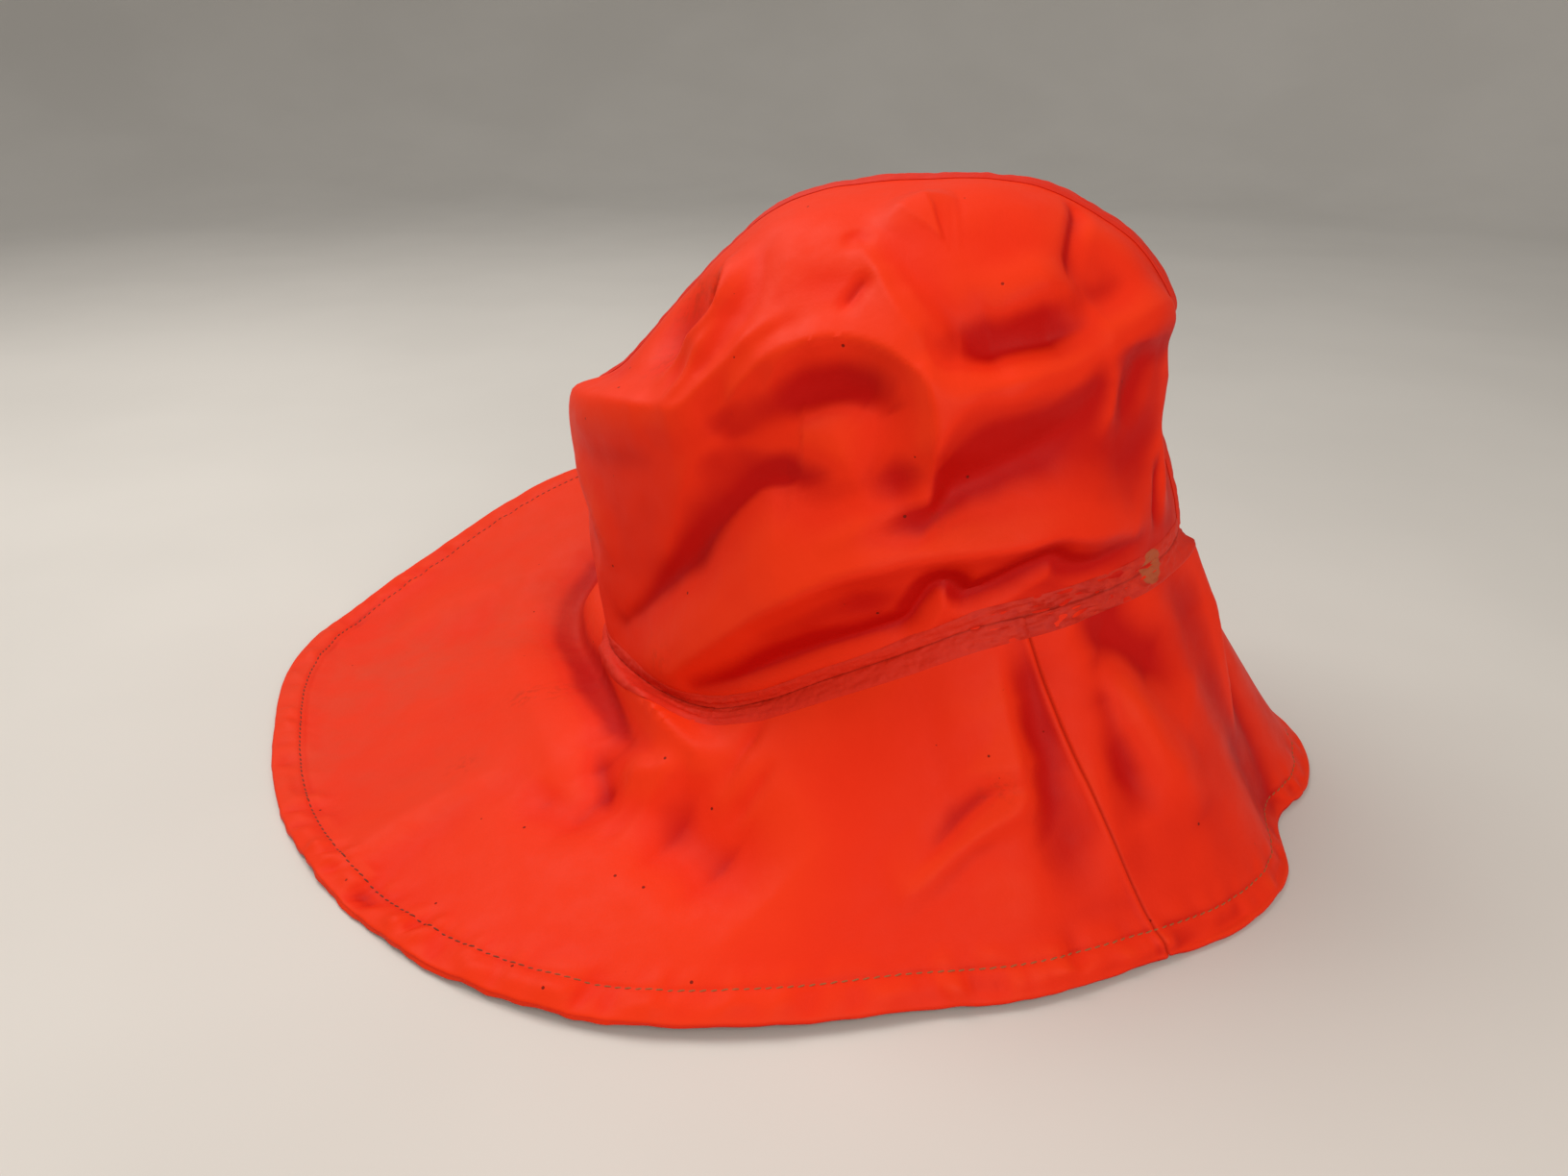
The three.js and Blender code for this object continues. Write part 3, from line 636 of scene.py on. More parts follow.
def crownPoints(angles, ups):
    plain = plainCrown(angles, ups)
    points = plain.reshape(-1, 3)
    normals = plainNormals(plainCrown, angles, ups).reshape(-1, 3)
    lift = np.zeros(len(points))
    right = points[:, 1] < 0
    for onSide, folds, hollows in ((right, rightCrown, rightHollows), (~right, leftCrown, leftHollows)):
        if onSide.any():
            for fold in folds:
                lift[onSide] += foldLift(fold, points[onSide], normals[onSide])
            for hollow in hollows.values():
                lift[onSide] += hollowLift(hollow, points[onSide])
    lift *= ease(np.abs(points[:, 1]) - crown["calm"], crown["calmFade"])
    lift += unevenness(points, crown["uneven"])
    lift *= ease(ups.ravel(), crown["foot"]) * (1 - ease(ups.ravel() - crown["topStart"], crown["top"]))
    return (points + normals * lift[:, None]).reshape(plain.shape)


def makeCrownSide(name, start):
    turns = np.linspace(start, start + 180, crown["columns"])
    angles, ups = np.meshgrid(turns, np.linspace(0, 1, crown["rows"]), indexing="ij")
    grid = crownPoints(angles, ups)
    grid[:, -1] = grid[:, -1].mean(axis=0)
    none = np.zeros(grid.shape[:2])
    # painted light and shade for the colour: paler where facing the key light, darker in hollows
    faded = paintedLightAndShade(grid, gridNormals(grid), crown["paintedShadeDepth"])
    dirt = strokes(grid, placeOnCrown, crown["dirt"])
    piece = gridPiece(name, grid, {"dirt": dirt, "dust": none, "faded": faded, "seam": none})
    thicken(piece, hat["cloth"], True)
    return piece


brim = {
    "neckColumns": 400,
    "frontColumns": 150,
    "rows": 60,
    "foot": 0.05,  # share of the width in which folds grow below the crown
    "uneven": [(0.9, 42, 4), (0.25, 15, 5)],
    "welt": 0.45,  # height of the welt behind a side seam, and depth of the seam
    "lowest": 1.1,  # height of the lowest cloth over the ground
    "soft": 0.8,  # how softly it comes to rest there
    # depth of a hollow on the brim that gets the full painted shade
    "paintedShadeDepth": 2.8,
    # dusty and dirty places: x, y, half size, strength
    "dust": [(-150, -10, 55, 1), (-110, 20, 40, 0.8), (-140, -60, 45, 0.8), (-90, -80, 35, 0.6),
             (-130, 60, 50, 0.5)],
    "dirt": [(-72, -43, 6, 0.5), (-79, -78, 5, 0.35), (-60, -40, 8, 0.4), (104, -92, 5, 0.4)],
}
hem = {
    "roll": 1.15,  # half its thickness
    "rollRows": 9,
    "back": 9.3,  # how far it is folded under
    "backRows": 9,
    "fine": 14,  # width with closer rows
    "fineRows": 20,
    "swell": 0.12,
    "swellWidth": 9.5,
    "stitched": 9.8,  # how far the stitches are from the edge
    "groove": 0.3,
    "lip": (0.9, 236, 22),  # the edge's sharper lip: size, angle and half its length in degrees
    "puckers": 1.6,
    "strained": [(1.6, 222, 24), (0.6, 300, 16)],  # where the puckers are stronger, in the same way
}


def hemShape(angles, fromEdge):
    # the folded hem swells between its edge and the stitches, which pull small puckers
    swell = hem["swell"] * np.sin(np.pi * np.clip(fromEdge / hem["swellWidth"], 0, 1)) ** 0.7
    groove = -hem["groove"] * bump(fromEdge, hem["stitched"], 0.8)
    strength = 1
    for more, *settings in hem["strained"]:
        strength = strength + more * nearAngle(angles, *settings)
    pulled = bump(fromEdge, 5, 4.5) + 0.4 * bump(fromEdge, 13, 3.5)
    wavy = 0.3 + waves(edgeLength(angles), fromEdge, 6, 16, 3.5)
    return swell + groove + hem["puckers"] * strength * wavy * pulled


def brimPoints(angles, downs):
    plain = plainBrim(angles, downs)
    points = plain.reshape(-1, 3)
    normals = plainNormals(plainBrim, angles, downs).reshape(-1, 3)
    fromEdge = (1 - downs) * brimWidth(angles)
    lift = np.zeros(len(points))
    for fold in brimCreases:
        lift += foldLift(fold, points, normals)
    lift += unevenness(points, brim["uneven"])
    lift *= ease(downs.ravel(), brim["foot"])
    away = np.abs(signedAngle(angles)) - hat["sideSeamTop"]
    reach = np.linalg.norm((plain - (hat["axisX"], 0, 0))[..., :2], axis=-1)
    beside = (np.radians(away) * reach).ravel()
    lift += brim["welt"] * bump(beside, 1.5, 1.1) - brim["welt"] * bump(beside, 0, 0.4)
    folded = points + normals * lift[:, None]
    lowest = brim["lowest"] + 1.3 * ease(13 - fromEdge.ravel(), 4)
    above = (folded[:, 2] - lowest) / brim["soft"]
    folded[:, 2] = lowest + brim["soft"] * np.logaddexp(0, above)
    folded += normals * hemShape(angles, fromEdge).reshape(-1, 1)
    return folded.reshape(plain.shape)


def columnAngles(start, end, count, seams):
    # angles evenly spread along the brim's edge, and closer beside its side seams
    fine = np.linspace(start, end, 721)
    lengths = edgeLength(fine)
    lengths = np.append(0, np.cumsum(np.mod(np.diff(lengths), edgeLength(359.999))))
    angles = np.interp(np.linspace(0, lengths[-1], count), lengths, fine)
    if seams:
        beside = np.array((0.15, 0.35, 0.6, 0.9, 1.3, 1.8, 2.5, 3.3))
        inside = angles[(angles > start + 4) & (angles < end - 4)]
        angles = np.concatenate(([start], start + beside, inside, end - beside[::-1], [end]))
    return angles


def brimRows(angles):
    # places down the brim: even rows, then close ones in the hem
    share = hem["fine"] / brimWidth(angles)[:, None]
    rows = np.linspace(0, 1, brim["rows"])[None, :] * (1 - share)
    hemRows = 1 - share * np.linspace(1, 0, hem["fineRows"] + 1)[None, 1:]
    return np.concatenate((rows, hemRows), axis=1)


def rolledEdge(grid, columns, normals):
    # rows that turn the edge round to the under side
    outward = grid[:, -1] - grid[:, -2]
    outward /= np.linalg.norm(outward, axis=-1, keepdims=True)
    middle = grid[:, -1] - hem["roll"] * normals[:, -1]
    size, *settings = hem["lip"]
    lip = size * nearAngle(columns, *settings)[:, None]
    rows = []
    for turn in np.linspace(0, math.pi, hem["rollRows"] + 1)[1:]:
        sharper = 0.8 * bump(turn, 2.1, 0.5) - 0.7 * bump(turn, 1.25, 0.25)
        reach = hem["roll"] * math.sin(turn) + lip * sharper
        rows.append(middle + hem["roll"] * math.cos(turn) * normals[:, -1] + reach * outward)
    return rows


def foldedUnder(grid, columns, downs, normals):
    # rows back along the under side, a hem's thickness below the cloth
    rows = []
    steps = np.linspace(0, hem["back"], hem["backRows"] + 1)[1:]
    everyColumn = np.arange(len(columns))
    for back in 1 - steps[:, None] / brimWidth(columns):
        at = [np.interp(back[column], downs[column], np.arange(downs.shape[1])) for column in everyColumn]
        low = np.floor(at).astype(int)
        high = np.minimum(low + 1, grid.shape[1] - 1)
        share = (np.array(at) - low)[:, None]
        above = grid[everyColumn, low] * (1 - share) + grid[everyColumn, high] * share
        rows.append(above - 2 * hem["roll"] * normals[everyColumn, low])
    return rows


def brimMasks(sheet):
    seam = np.zeros(sheet.shape[:2])
    for column in (0, -1):
        away = np.linalg.norm(sheet - sheet[column][None], axis=-1)
        seam = np.maximum(seam, bump(away, 0, 0.6))
    dust = strokes(sheet, placeOnBrim, brim["dust"])
    dirt = strokes(sheet, placeOnBrim, brim["dirt"])
    # painted light and shade for the colour: paler where facing the key light, darker in hollows
    faded = paintedLightAndShade(sheet, -gridNormals(sheet), brim["paintedShadeDepth"])
    return {"dust": dust, "dirt": dirt, "faded": faded, "seam": seam}


def makeBrimPanel(name, start, end, count):
    columns = columnAngles(start, end, count, True)
    downs = brimRows(columns)
    grid = brimPoints(np.repeat(columns[:, None], downs.shape[1], axis=1), downs)
    normals = -gridNormals(grid)
    under = rolledEdge(grid, columns, normals) + foldedUnder(grid, columns, downs, normals)
    sheet = np.concatenate((grid, np.stack(under, axis=1)), axis=1)
    sheet[..., 2] = np.maximum(sheet[..., 2], 0.05)
    piece = gridPiece(name, sheet, brimMasks(sheet), flip=True)
    thicken(piece, hat["cloth"], True)
    return piece


print("modelling the crown")
crownRight = makeCrownSide("crown_right_cloth", 180)
crownLeft = makeCrownSide("crown_left_cloth", 0)
print("modelling the brim")
seamAngle = hat["sideSeamTop"]
brimNeck = makeBrimPanel("neck_brim_cloth", seamAngle, 360 - seamAngle, brim["neckColumns"])
brimFront = makeBrimPanel("front_brim_cloth", -seamAngle, seamAngle, brim["frontColumns"])

tape = {
    "offset": 0.3,  # how far it stands off the cloth
    "thick": 0.35,
    "columns": 1200,
    "half": 4.6,  # half the width of the crown's tape
    "step": 0.8,  # distance between its points
    "ridges": (0.14, 3.1),  # height and spacing of the ridges along it
    # wrinkles of the brim's tape: height, their lengths along and across it, seed
    "ripples": (1.1, 4.5, 1.0, 6.5),
    "crinkle": (0.22, 1.6, 1.2, 9.5),
    # where the ripples are strong: by how much, angle, half width in degrees
    "rippled": [(1, 322, 20), (0.8, 40, 30)],
    "piped": (0.3, 240, 16),  # and where ridges run along it: height, angle, half width
    "piping": 2.4,  # spacing of those ridges
}
# rows across the tape over the brim's seam, from 6 mm down the brim to 5 mm up the crown
tapeEdge = (-6, -5.6, -5.1)
tapeHalf = np.array((0, 0.3, 0.7, 1.1, 1.6, 2.1, 2.6, 3.1, 3.6, 4.1, 4.6))
tapeRows = np.concatenate((tapeEdge, -tapeHalf[:0:-1], tapeHalf, [5]))


def makeBrimTape(name):
    columns = np.linspace(0, 360, tape["columns"], endpoint=False)
    angles, lengths = np.meshgrid(columns, tapeRows, indexing="ij")
    onBrim = tapeRows < 0
    grid = np.empty(angles.shape + (3,))
    downs = -lengths[:, onBrim] / brimWidth(columns)[:, None]
    ups = lengths[:, ~onBrim] / crownLength(columns)[:, None]
    grid[:, onBrim] = brimPoints(angles[:, onBrim], downs)
    grid[:, ~onBrim] = crownPoints(angles[:, ~onBrim], ups)
    evenOut(np.swapaxes(grid, 0, 1), 3)
    normals = gridNormals(grid, closed=True)
    along = np.radians(angles) * 90
    body = ease(lengths + 6.2, 0.9) * ease(5.2 - lengths, 0.9)
    front = sum(size * nearAngle(angles, middle, width) for size, middle, width in tape["rippled"]) + 0.25
    drift = along + 3 * waves(along, lengths, 14, 4, 1.5)
    height, *settings = tape["ripples"]
    ripples = height * front * waves(drift, lengths, *settings)
    height, *settings = tape["crinkle"]
    crinkle = height * waves(along, lengths, *settings)
    height, *settings = tape["piped"]
    piping = height * nearAngle(angles, *settings) * np.cos(2 * np.pi * (lengths - 0.4) / tape["piping"])
    groove = bump(lengths, 0, 0.3)
    lift = tape["offset"] * body + body * (ripples + crinkle + piping) - 0.3 * groove + 0.15 * body
    grid = grid + normals * lift[..., None]
    piece = gridPiece(name, grid, {"groove": groove, "front": np.clip(front, 0, 1)}, closed=True)
    thicken(piece, tape["thick"], False)
    return piece


def onCloth(points, cloths):
    # the nearest points on the modelled cloth
    trees = []
    for cloth in cloths:
        corners = [corner.co for corner in cloth.data.vertices]
        faces = [tuple(face.vertices) for face in cloth.data.polygons]
        trees.append(BVHTree.FromPolygons(corners, faces))
    shift = np.array(hat["shift"])
    places = []
    for point in (points.reshape(-1, 3) + shift) * mm:
        found = min((tree.find_nearest(Vector(point)) for tree in trees), key=lambda hit: hit[3])
        places.append(np.array(found[0]) / mm - shift)
    return np.reshape(places, points.shape)


def centreLine():
    # evenly spaced points over the top of the crown from front to neck, and their distances
    ups = np.linspace(0.02, 1, 340)
    front = crownPoints(np.zeros_like(ups), ups)
    neck = crownPoints(np.full_like(ups, 180.0), ups)[::-1]
    line = np.concatenate((front, neck[1:]))
    steps = distances(line)
    even = np.linspace(0, steps[-1], int(steps[-1] / tape["step"]))
    line = alongLine(even, steps, line)
    evenOut(line, 6)
    return line, even


def makeCrownTape(name):
    line, even = centreLine()
    way = np.gradient(line, axis=0)
    normal = np.stack((way[:, 2], 0 * way[:, 0], -way[:, 0]), axis=1)
    normal /= np.linalg.norm(normal, axis=1, keepdims=True)
    across = np.linspace(-tape["half"], tape["half"], 19)
    places = line[:, None] + across[None, :, None] * np.array((0, 1.0, 0))
    along, side = np.meshgrid(even, across, indexing="ij")
    body = ease(tape["half"] + 0.1 - np.abs(side), 0.8)
    height, spacing = tape["ridges"]
    ridges = height * np.cos(2 * np.pi * side / spacing)
    crinkle = 0.4 * waves(along, side, 4, 1.4, 12.5) + 0.2 * waves(along, side, 1.8, 1.2, 13.5)
    lift = body * (tape["offset"] + 0.2 + ridges + crinkle) - side ** 2 / 120
    high = places + normal[:, None] * 0.6
    grid = onCloth(high, (crownRight, crownLeft)) + normal[:, None] * (0.12 + lift[..., None])
    evenOut(grid, 2)
    piece = gridPiece(name, grid, {"groove": np.zeros(side.shape), "front": np.full(side.shape, 0.3)})
    thicken(piece, tape["thick"], False)
    return piece


print("modelling the tapes")
brimTape = makeBrimTape("brim_seam_tape_cloth")
crownTape = makeCrownTape("crown_seam_tape_cloth")

thread = {
    "pitch": 3.0,
    "length": 2.5,
    "width": 0.48,
    "arch": 0.32,
    "sunk": 0.2,
    "tilt": 9,  # degrees to the hem's edge
    "sides": 6,
}


def stitchShape():
    # one stitch: a short thread that arches out of the cloth, as points along, beside and above
    rings = np.linspace(-1, 1, 7)
    sides = thread["sides"]
    points = []
    for place in rings:
        half = thread["width"] / 2 * (1 - 0.55 * place ** 4)
        for turn in np.radians(np.arange(0, 360, 360 // sides)):
            rise = thread["arch"] * (1 - place ** 2) - thread["sunk"] + half * 0.8 * math.sin(turn)
            points.append((place * thread["length"] / 2, half * math.cos(turn), rise))
    faces = []
    for first in range(0, len(points) - sides, sides):
        for turn in range(sides):
            after = (turn + 1) % sides
            faces.append((first + turn, first + after, first + sides + after, first + sides + turn))
    return np.array(points), faces


def stitchRow(name, line, normals):
    # stitches along a closed line
    dice = random.Random(11)
    steps = distances(line)
    count = int(steps[-1] / thread["pitch"])
    shape, shapeFaces = stitchShape()
    points = []
    faces = []
    for number in range(count):
        at = (number + 0.5) * steps[-1] / count
        place = alongLine(at, steps, line)
        normal = alongLine(at, steps, normals)
        normal /= np.linalg.norm(normal)
        way = alongLine(at + 1, steps, line) - place
        way -= normal * (way @ normal)
        way /= np.linalg.norm(way)
        beside = np.cross(normal, way)
        tilt = math.radians(thread["tilt"] + dice.uniform(-5, 5))
        turned = way * math.cos(tilt) + beside * math.sin(tilt)
        across = np.cross(normal, turned)
        stretch = dice.uniform(0.92, 1.06)
        first = len(points) * len(shape)
        stitch = place + stretch * shape[:, :1] * turned + shape[:, 1:2] * across + shape[:, 2:] * normal
        points.append(stitch)
        faces += [tuple(first + corner for corner in face) for face in shapeFaces]
    piece = meshPiece(name, np.concatenate(points), np.array(faces), {})
    activate(piece)
    bpy.ops.object.shade_smooth()
    return piece


def makeHemStitches(name, below):
    columns = columnAngles(0, 360, 900, False)
    near = hem["stitched"] + np.array((0.6, 0, -0.6))
    downs = 1 - near[None, :] / brimWidth(columns)[:, None]
    grid = brimPoints(np.repeat(columns[:, None], 3, axis=1), downs)
    normals = -gridNormals(grid)[:, 1]
    line = grid[:, 1]
    if below:
        line = line - normals * (2 * hem["roll"] + 0.1)
        line[:, 2] = np.maximum(line[:, 2], 0.4)
        normals = -normals
    return stitchRow(name, line, normals)


print("sewing the hem")
hemStitches = makeHemStitches("hem_stitches", False)
underStitches = makeHemStitches("hem_stitches_below", True)


def linear(hexColour):
    # sRGB hex to linear light
    parts = [int(hexColour[i:i + 2], 16) / 255 for i in (1, 3, 5)]
    return [(v / 12.92 if v <= 0.04045 else ((v + 0.055) / 1.055) ** 2.4) for v in parts] + [1]


def addNode(tree, kind, output, inputs, **settings):
    # adds a node with its settings and gives one of its outputs. Its inputs are values or outputs
    # of other nodes, by name or in their order
    made = tree.nodes.new("ShaderNode" + kind)
    for name, value in settings.items():
        setattr(made, name, value)
    named = inputs.items() if isinstance(inputs, dict) else enumerate(inputs)
    for name, value in named:
        if isinstance(value, bpy.types.NodeSocket):
            tree.links.new(value, made.inputs[name])
        else:
            made.inputs[name].default_value = value
    return made.outputs[output]


def newMaterial(look):
    # a material with its even finish, its patterns as noise, and the masks that its pieces carry.
    # A pattern is the length of its features in mm, its detail and its roughness
    material = bpy.data.materials.new(look["name"])
    material.use_nodes = True
    tree = material.node_tree
    shader = tree.nodes["Principled BSDF"]
    for socket, value in look["finish"].items():
        shader.inputs[socket].default_value = value
    made = {"place": addNode(tree, "TexCoord", "Object", {})}
    for pattern, (size, detail, rough) in look["patterns"].items():
        inputs = {"Vector": made["place"], "Scale": 1 / (size * mm), "Detail": detail, "Roughness": rough}
        made[pattern] = addNode(tree, "TexNoise", "Fac", inputs)
    for mask in look.get("masks", ()):
        made[mask] = addNode(tree, "Attribute", "Fac", {}, attribute_name=mask)
    return material, tree, shader, made


smooth = {"interpolation_type": "SMOOTHSTEP"}
times = {"operation": "MULTIPLY"}
timesPlus = {"operation": "MULTIPLY_ADD"}
blended = {"data_type": "RGBA"}

coating = {
    "name": "orange red PVC coated polyester",
    "finish": {"Specular IOR Level": 0.1},
    "masks": ("dust", "dirt", "faded", "seam"),
    # the darkest red is painted shade for hollows and cloth turned away from the key light, the palest red
    # is painted light where the cloth faces it
    "paintedShadeRed": "#B80A03",
    "colour": "#E42C0C",
    "pale": "#E8340F",
    "dust": "#D2442C",
    "dirt": "#7A2A14",
    "pinhole": "#5E1408",
    "pinholesApart": 11,
    "seam": "#8C1A0A",
    "patterns": {
        "mottle": (38, 3, 0.55),
        "dusting": (14, 4, 0.6),
        "grime": (3, 3, 0.6),
        "holed": (25, 1, 0.5),
        "gloss": (9, 4, 0.6),
        "grain": (0.7, 2, 0.5),
        "crumple": (5, 3, 0.55),
    },
}


def coatedCloth():
    # PVC coated polyester: smooth, satin, faintly grained by the cloth under the coating, dulled by dust on
    # the flat brim and specked with pinholes, with painted light and shade in its red
    material, tree, shader, made = newMaterial(coating)
    # painted light and shade: mottle and the shading mask mix the darkest red in hollows and away from the
    # key light up to the palest red facing it
    mottleAndShading = addNode(tree, "Math", 0, (made["mottle"], 0.25, made["faded"]), **timesPlus)
    full = addNode(tree, "MapRange", 0, (mottleAndShading, 0.38, 0.86), **smooth)
    paintedLitShare = addNode(tree, "MapRange", 0, (mottleAndShading, 0.85, 1.15), **smooth)
    dusty = addNode(tree, "MapRange", 0, (made["dusting"], 0.3, 0.75, 0.35, 0.8), **smooth)
    dusty = addNode(tree, "Math", 0, (made["dust"], dusty), **times)
    dirty = addNode(tree, "MapRange", 0, (made["grime"], 0.46, 0.66, 0, 0.6), **smooth)
    dirty = addNode(tree, "Math", 0, (made["dirt"], dirty), **times)
    cells = {"Vector": made["place"], "Scale": 1 / (coating["pinholesApart"] * mm), "Randomness": 1.0}
    holes = addNode(tree, "TexVoronoi", "Distance", cells)
    holes = addNode(tree, "MapRange", 0, (holes, 0.034, 0.052, 0.85, 0), **smooth)
    holed = addNode(tree, "MapRange", 0, (made["holed"], 0.44, 0.5), **smooth)
    holes = addNode(tree, "Math", 0, (holes, holed), **times)
    seamed = addNode(tree, "Math", 0, (made["seam"], 0.5), **times)
    layers = {"colour": full, "pale": paintedLitShare, "dust": dusty, "dirt": dirty, "pinhole": holes, "seam": seamed}
    colour = linear(coating["paintedShadeRed"])
    for layer, share in layers.items():
        colour = addNode(tree, "Mix", 2, {0: share, 6: colour, 7: linear(coating[layer])}, **blended)
    tree.links.new(colour, shader.inputs["Base Color"])
    rough = addNode(tree, "MapRange", 0, (made["gloss"], 0.3, 0.7, 0.48, 0.58), **smooth)
    rough = addNode(tree, "Math", 0, (dusty, 0.2, rough), **timesPlus)
    tree.links.new(rough, shader.inputs["Roughness"])
    grain = {"Strength": 0.25, "Distance": 0.12 * mm, "Height": made["grain"]}
    bumps = addNode(tree, "Bump", 0, grain)
    crumple = {"Strength": 0.3, "Distance": 0.5 * mm, "Height": made["crumple"], "Normal": bumps}
    bumps = addNode(tree, "Bump", 0, crumple)
    pits = {"Strength": 0.6, "Distance": 0.3 * mm, "Height": holes, "Normal": bumps}
    bumps = addNode(tree, "Bump", 0, pits, invert=True)
    tree.links.new(bumps, shader.inputs["Normal"])
    return material


knit = {
    "name": "orange polyester knit backing",
    "finish": {"Roughness": 0.9, "Sheen Weight": 0.2},
    "patterns": {"tone": (20, 4, 0.6)},
    "dark": "#D2401F",
    "light": "#E0542E",
    "rib": 1.6,
}


def liningCloth():
    # the uncoated knit back of the same cloth, its ribs drawn coarser than they are
    material, tree, shader, made = newMaterial(knit)
    tone = addNode(tree, "MapRange", 0, (made["tone"], 0.3, 0.7), **smooth)
    colour = {0: tone, 6: linear(knit["dark"]), 7: linear(knit["light"])}
    tree.links.new(addNode(tree, "Mix", 2, colour, **blended), shader.inputs["Base Color"])
    ribs = {"Vector": made["place"], "Scale": 1 / (knit["rib"] * mm) / 6.28, "Distortion": 1.0}
    ribs = addNode(tree, "TexWave", "Fac", ribs, bands_direction="DIAGONAL")
    bumps = addNode(tree, "Bump", 0, {"Strength": 0.4, "Distance": 0.2 * mm, "Height": ribs})
    tree.links.new(bumps, shader.inputs["Normal"])
    return material


sealing = {
    "name": "crimson welded seam tape",
    "finish": {"Roughness": 0.62, "Specular IOR Level": 0.2},
    "masks": ("groove", "front"),
    "patterns": {"tone": (4, 4, 0.65), "ragged": (3, 3, 0.6), "crazing": (1.3, 3, 0.6)},
    "even": "#D8280E",
    "dark": "#BC2416",
    "light": "#C82C18",
    "groove": "#7E180C",
    "backing": "#AC5432",
    "wornAt": (340, 96),  # angle and height of the worn spot
}


def tapeCloth():
    # welded seam tape: duller and more crimson than the cloth, finely crazed, worn through to
    # its beige backing at one spot
    material, tree, shader, made = newMaterial(sealing)
    tone = addNode(tree, "MapRange", 0, (made["tone"], 0.3, 0.7), **smooth)
    grooved = addNode(tree, "Math", 0, (made["groove"], 0.55), **times)
    middle = (placeOnCrown(*sealing["wornAt"]) + np.array(hat["shift"])) * mm
    worn = addNode(tree, "VectorMath", "Value", (made["place"], tuple(middle)), operation="DISTANCE")
    worn = addNode(tree, "Math", 0, (made["ragged"], 1.2 * mm, worn), **timesPlus)
    worn = addNode(tree, "MapRange", 0, (worn, 5.8 * mm, 6.4 * mm, 1, 0), **smooth)
    worn = addNode(tree, "Math", 0, (worn, 0.9), **times)
    crazed = {0: tone, 6: linear(sealing["dark"]), 7: linear(sealing["light"])}
    crazed = addNode(tree, "Mix", 2, crazed, **blended)
    colour = {0: made["front"], 6: linear(sealing["even"]), 7: crazed}
    colour = addNode(tree, "Mix", 2, colour, **blended)
    for layer, share in {"groove": grooved, "backing": worn}.items():
        colour = addNode(tree, "Mix", 2, {0: share, 6: colour, 7: linear(sealing[layer])}, **blended)
    tree.links.new(colour, shader.inputs["Base Color"])
    bumps = addNode(tree, "Bump", 0, {"Strength": 0.4, "Distance": 0.2 * mm, "Height": made["crazing"]})
    tree.links.new(bumps, shader.inputs["Normal"])
    return material


sewing = {
    "name": "ochre polyester thread",
    "finish": {"Roughness": 0.75},
    "patterns": {"soil": (45, 2, 0.5)},
    "soiled": "#6E2C14",
    "clean": "#9C5628",
}


def sewingThread():
    # spun thread, matt, and more soiled towards the neck
    material, tree, shader, made = newMaterial(sewing)
    along = addNode(tree, "SeparateXYZ", 0, (made["place"],))
    clean = addNode(tree, "Math", 0, (made["soil"], 60 * mm, along), **timesPlus)
    clean = addNode(tree, "MapRange", 0, (clean, -30 * mm, 70 * mm), **smooth)
    colour = {0: clean, 6: linear(sewing["soiled"]), 7: linear(sewing["clean"])}
    tree.links.new(addNode(tree, "Mix", 2, colour, **blended), shader.inputs["Base Color"])
    return material


print("giving materials")
coated = [coatedCloth(), liningCloth()]
taped = [tapeCloth()]
sewn = [sewingThread()]

# each piece with its materials, its slot and the part of the frame that it stands for
finished = [
    (crownRight, coated, "coated_cloth", "crown_right_panel"),
    (crownLeft, coated, "coated_cloth", "crown_left_panel"),
    (brimNeck, coated, "coated_cloth", "neck_brim_panel"),
    (brimFront, coated, "coated_cloth", "front_brim_panel"),
    (brimTape, taped, "seam_tape", "brim_seam_tape"),
    (crownTape, taped, "seam_tape", "crown_seam_tape"),
    (hemStitches, sewn, "thread", None),
    (underStitches, sewn, "thread", None),
]
for piece, materials, slot, node in finished:
    for material in materials:
        piece.data.materials.append(material)
    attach(piece, "root")
    if node:
        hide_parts(node)

board = {
    "name": "pale matt board",
    "finish": {"Roughness": 0.65},
    "patterns": {"tone": (240, 3, 0.5)},
    "dark": "#CFCCC7",
    "light": "#D4D1CC",
}
studio = {
    "world": "#F4F1EC",
    "worldStrength": 0.38,
    "radius": 1.5,
    "cove": 0.9,
    "coveSteps": 14,
    # fitted to the hat's outline in the photo
    "lens": 27.04,
    "cameraPlace": (0.113, -0.3776, 0.247),
    "cameraTilt": 64.3,
    "cameraTurn": 15,
}


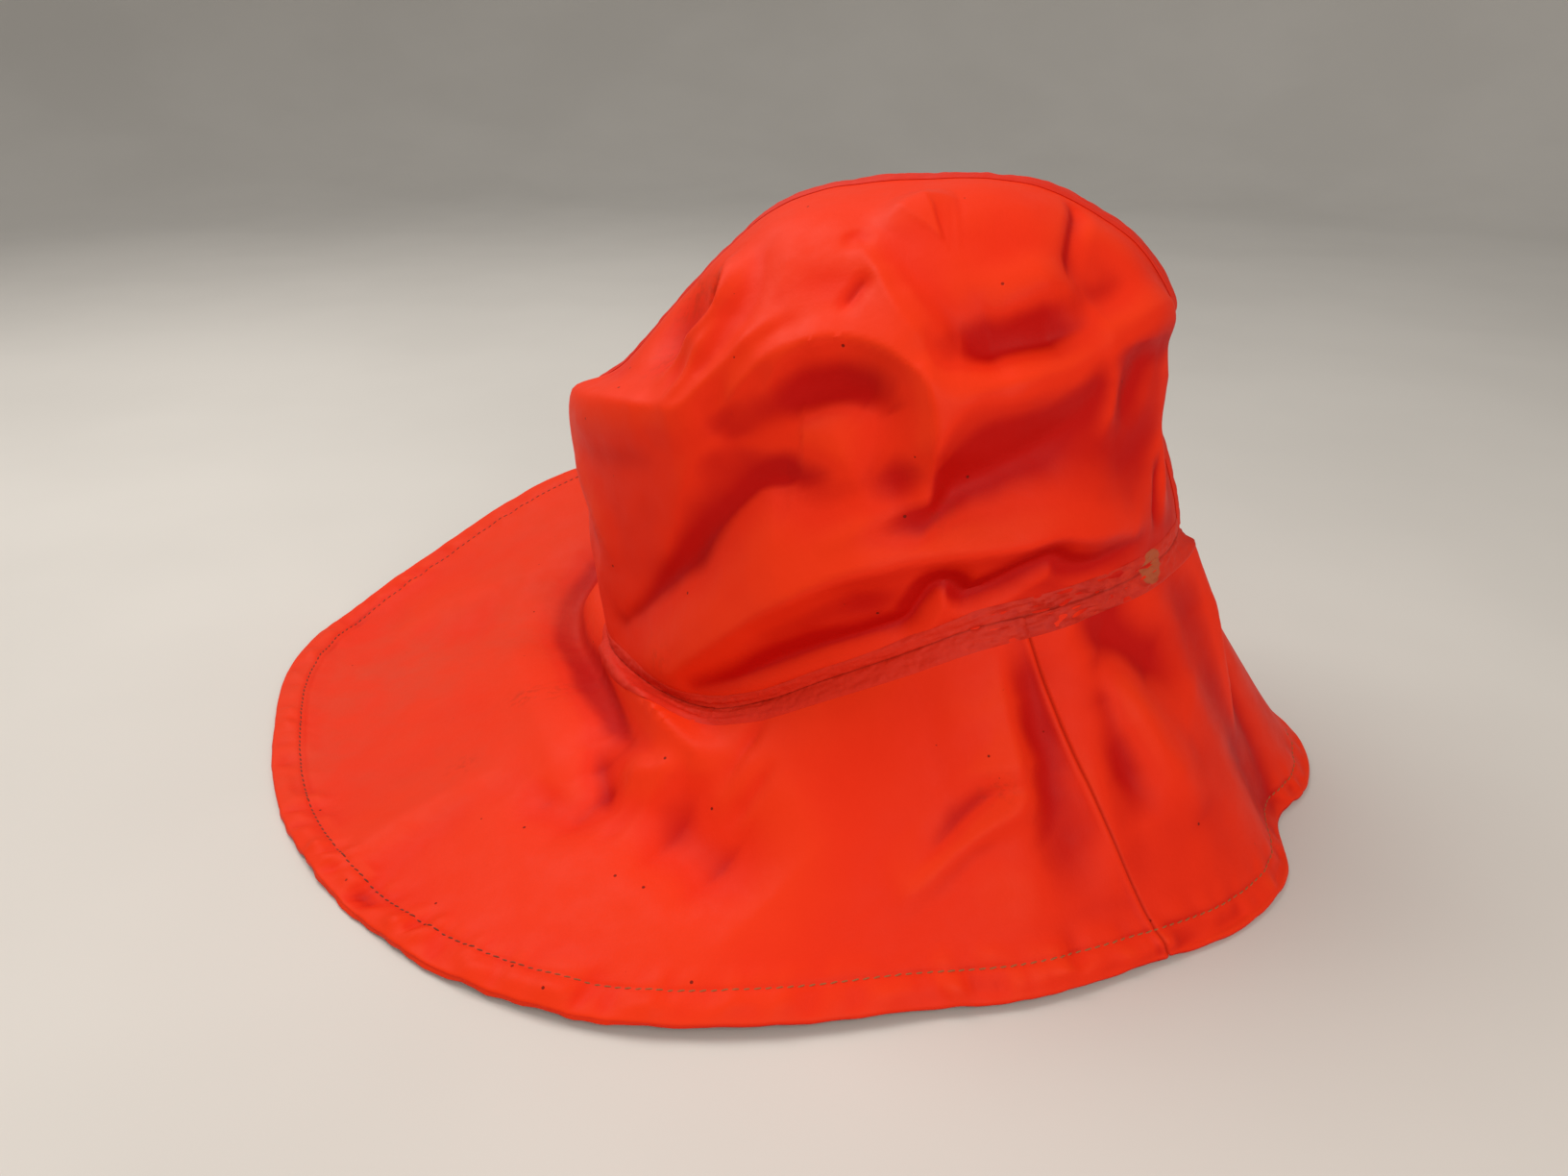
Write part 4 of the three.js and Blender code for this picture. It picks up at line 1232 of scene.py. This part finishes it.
def makeFloor():
    # a round floor whose rim sweeps up as a backdrop
    bpy.ops.object.select_all(action="DESELECT")
    bpy.ops.mesh.primitive_circle_add(vertices=128, radius=studio["radius"], fill_type="NGON")
    floor = bpy.context.object
    floor.name = "floor"
    bpy.ops.object.mode_set(mode="EDIT")
    bpy.ops.mesh.select_all(action="SELECT")
    radius = studio["radius"]
    height = 0
    for step in range(1, studio["coveSteps"] + 1):
        turn = math.pi / 2 * step / studio["coveSteps"]
        wider = studio["radius"] + studio["cove"] * math.sin(turn)
        higher = studio["cove"] * (1 - math.cos(turn))
        bpy.ops.mesh.extrude_edges_move(TRANSFORM_OT_translate={"value": (0, 0, higher - height)})
        bpy.ops.transform.resize(value=(wider / radius, wider / radius, 1), center_override=(0, 0, 0))
        radius = wider
        height = higher
    bpy.ops.mesh.select_all(action="SELECT")
    bpy.ops.mesh.normals_make_consistent(inside=True)
    bpy.ops.object.mode_set(mode="OBJECT")
    bpy.ops.object.shade_smooth_by_angle(angle=math.radians(30))
    material, tree, shader, made = newMaterial(board)
    tone = addNode(tree, "MapRange", 0, (made["tone"], 0.3, 0.7), **smooth)
    colour = {0: tone, 6: linear(board["dark"]), 7: linear(board["light"])}
    tree.links.new(addNode(tree, "Mix", 2, colour, **blended), shader.inputs["Base Color"])
    floor.data.materials.append(material)


def makeLight(name, size, power, place, target, colour):
    data = bpy.data.lights.new(name, "AREA")
    data.shape = "RECTANGLE"
    data.size, data.size_y = size
    data.energy = power
    data.color = linear(colour)[:3]
    light = bpy.data.objects.new(name, data)
    bpy.context.scene.collection.objects.link(light)
    light.location = place
    light.rotation_euler = (Vector(target) - Vector(place)).to_track_quat("-Z", "Y").to_euler()


def makeCamera():
    data = bpy.data.cameras.new("camera")
    data.sensor_width = 36
    data.lens = studio["lens"]
    data.clip_start = 0.01
    camera = bpy.data.objects.new("camera", data)
    bpy.context.scene.collection.objects.link(camera)
    camera.location = studio["cameraPlace"]
    camera.rotation_euler = (math.radians(studio["cameraTilt"]), 0, math.radians(studio["cameraTurn"]))
    bpy.context.scene.camera = camera


print("setting up the studio")
makeFloor()
makeLight("key softbox", (0.8, 0.8), 9.2, (-0.55, 0.14, 1.02), (0, 0, 0.08), "#FFFAF4")
makeLight("side fill", (0.9, 0.9), 8, (0.62, -0.86, 0.65), (0, 0, 0.1), "#FFF6EC")
makeCamera()

world = bpy.data.worlds.new("studio")
world.use_nodes = True
background = world.node_tree.nodes["Background"].inputs
background["Color"].default_value = linear(studio["world"])
background["Strength"].default_value = studio["worldStrength"]
bpy.context.scene.world = world
bpy.context.scene.view_settings.view_transform = "Standard"

print("done")
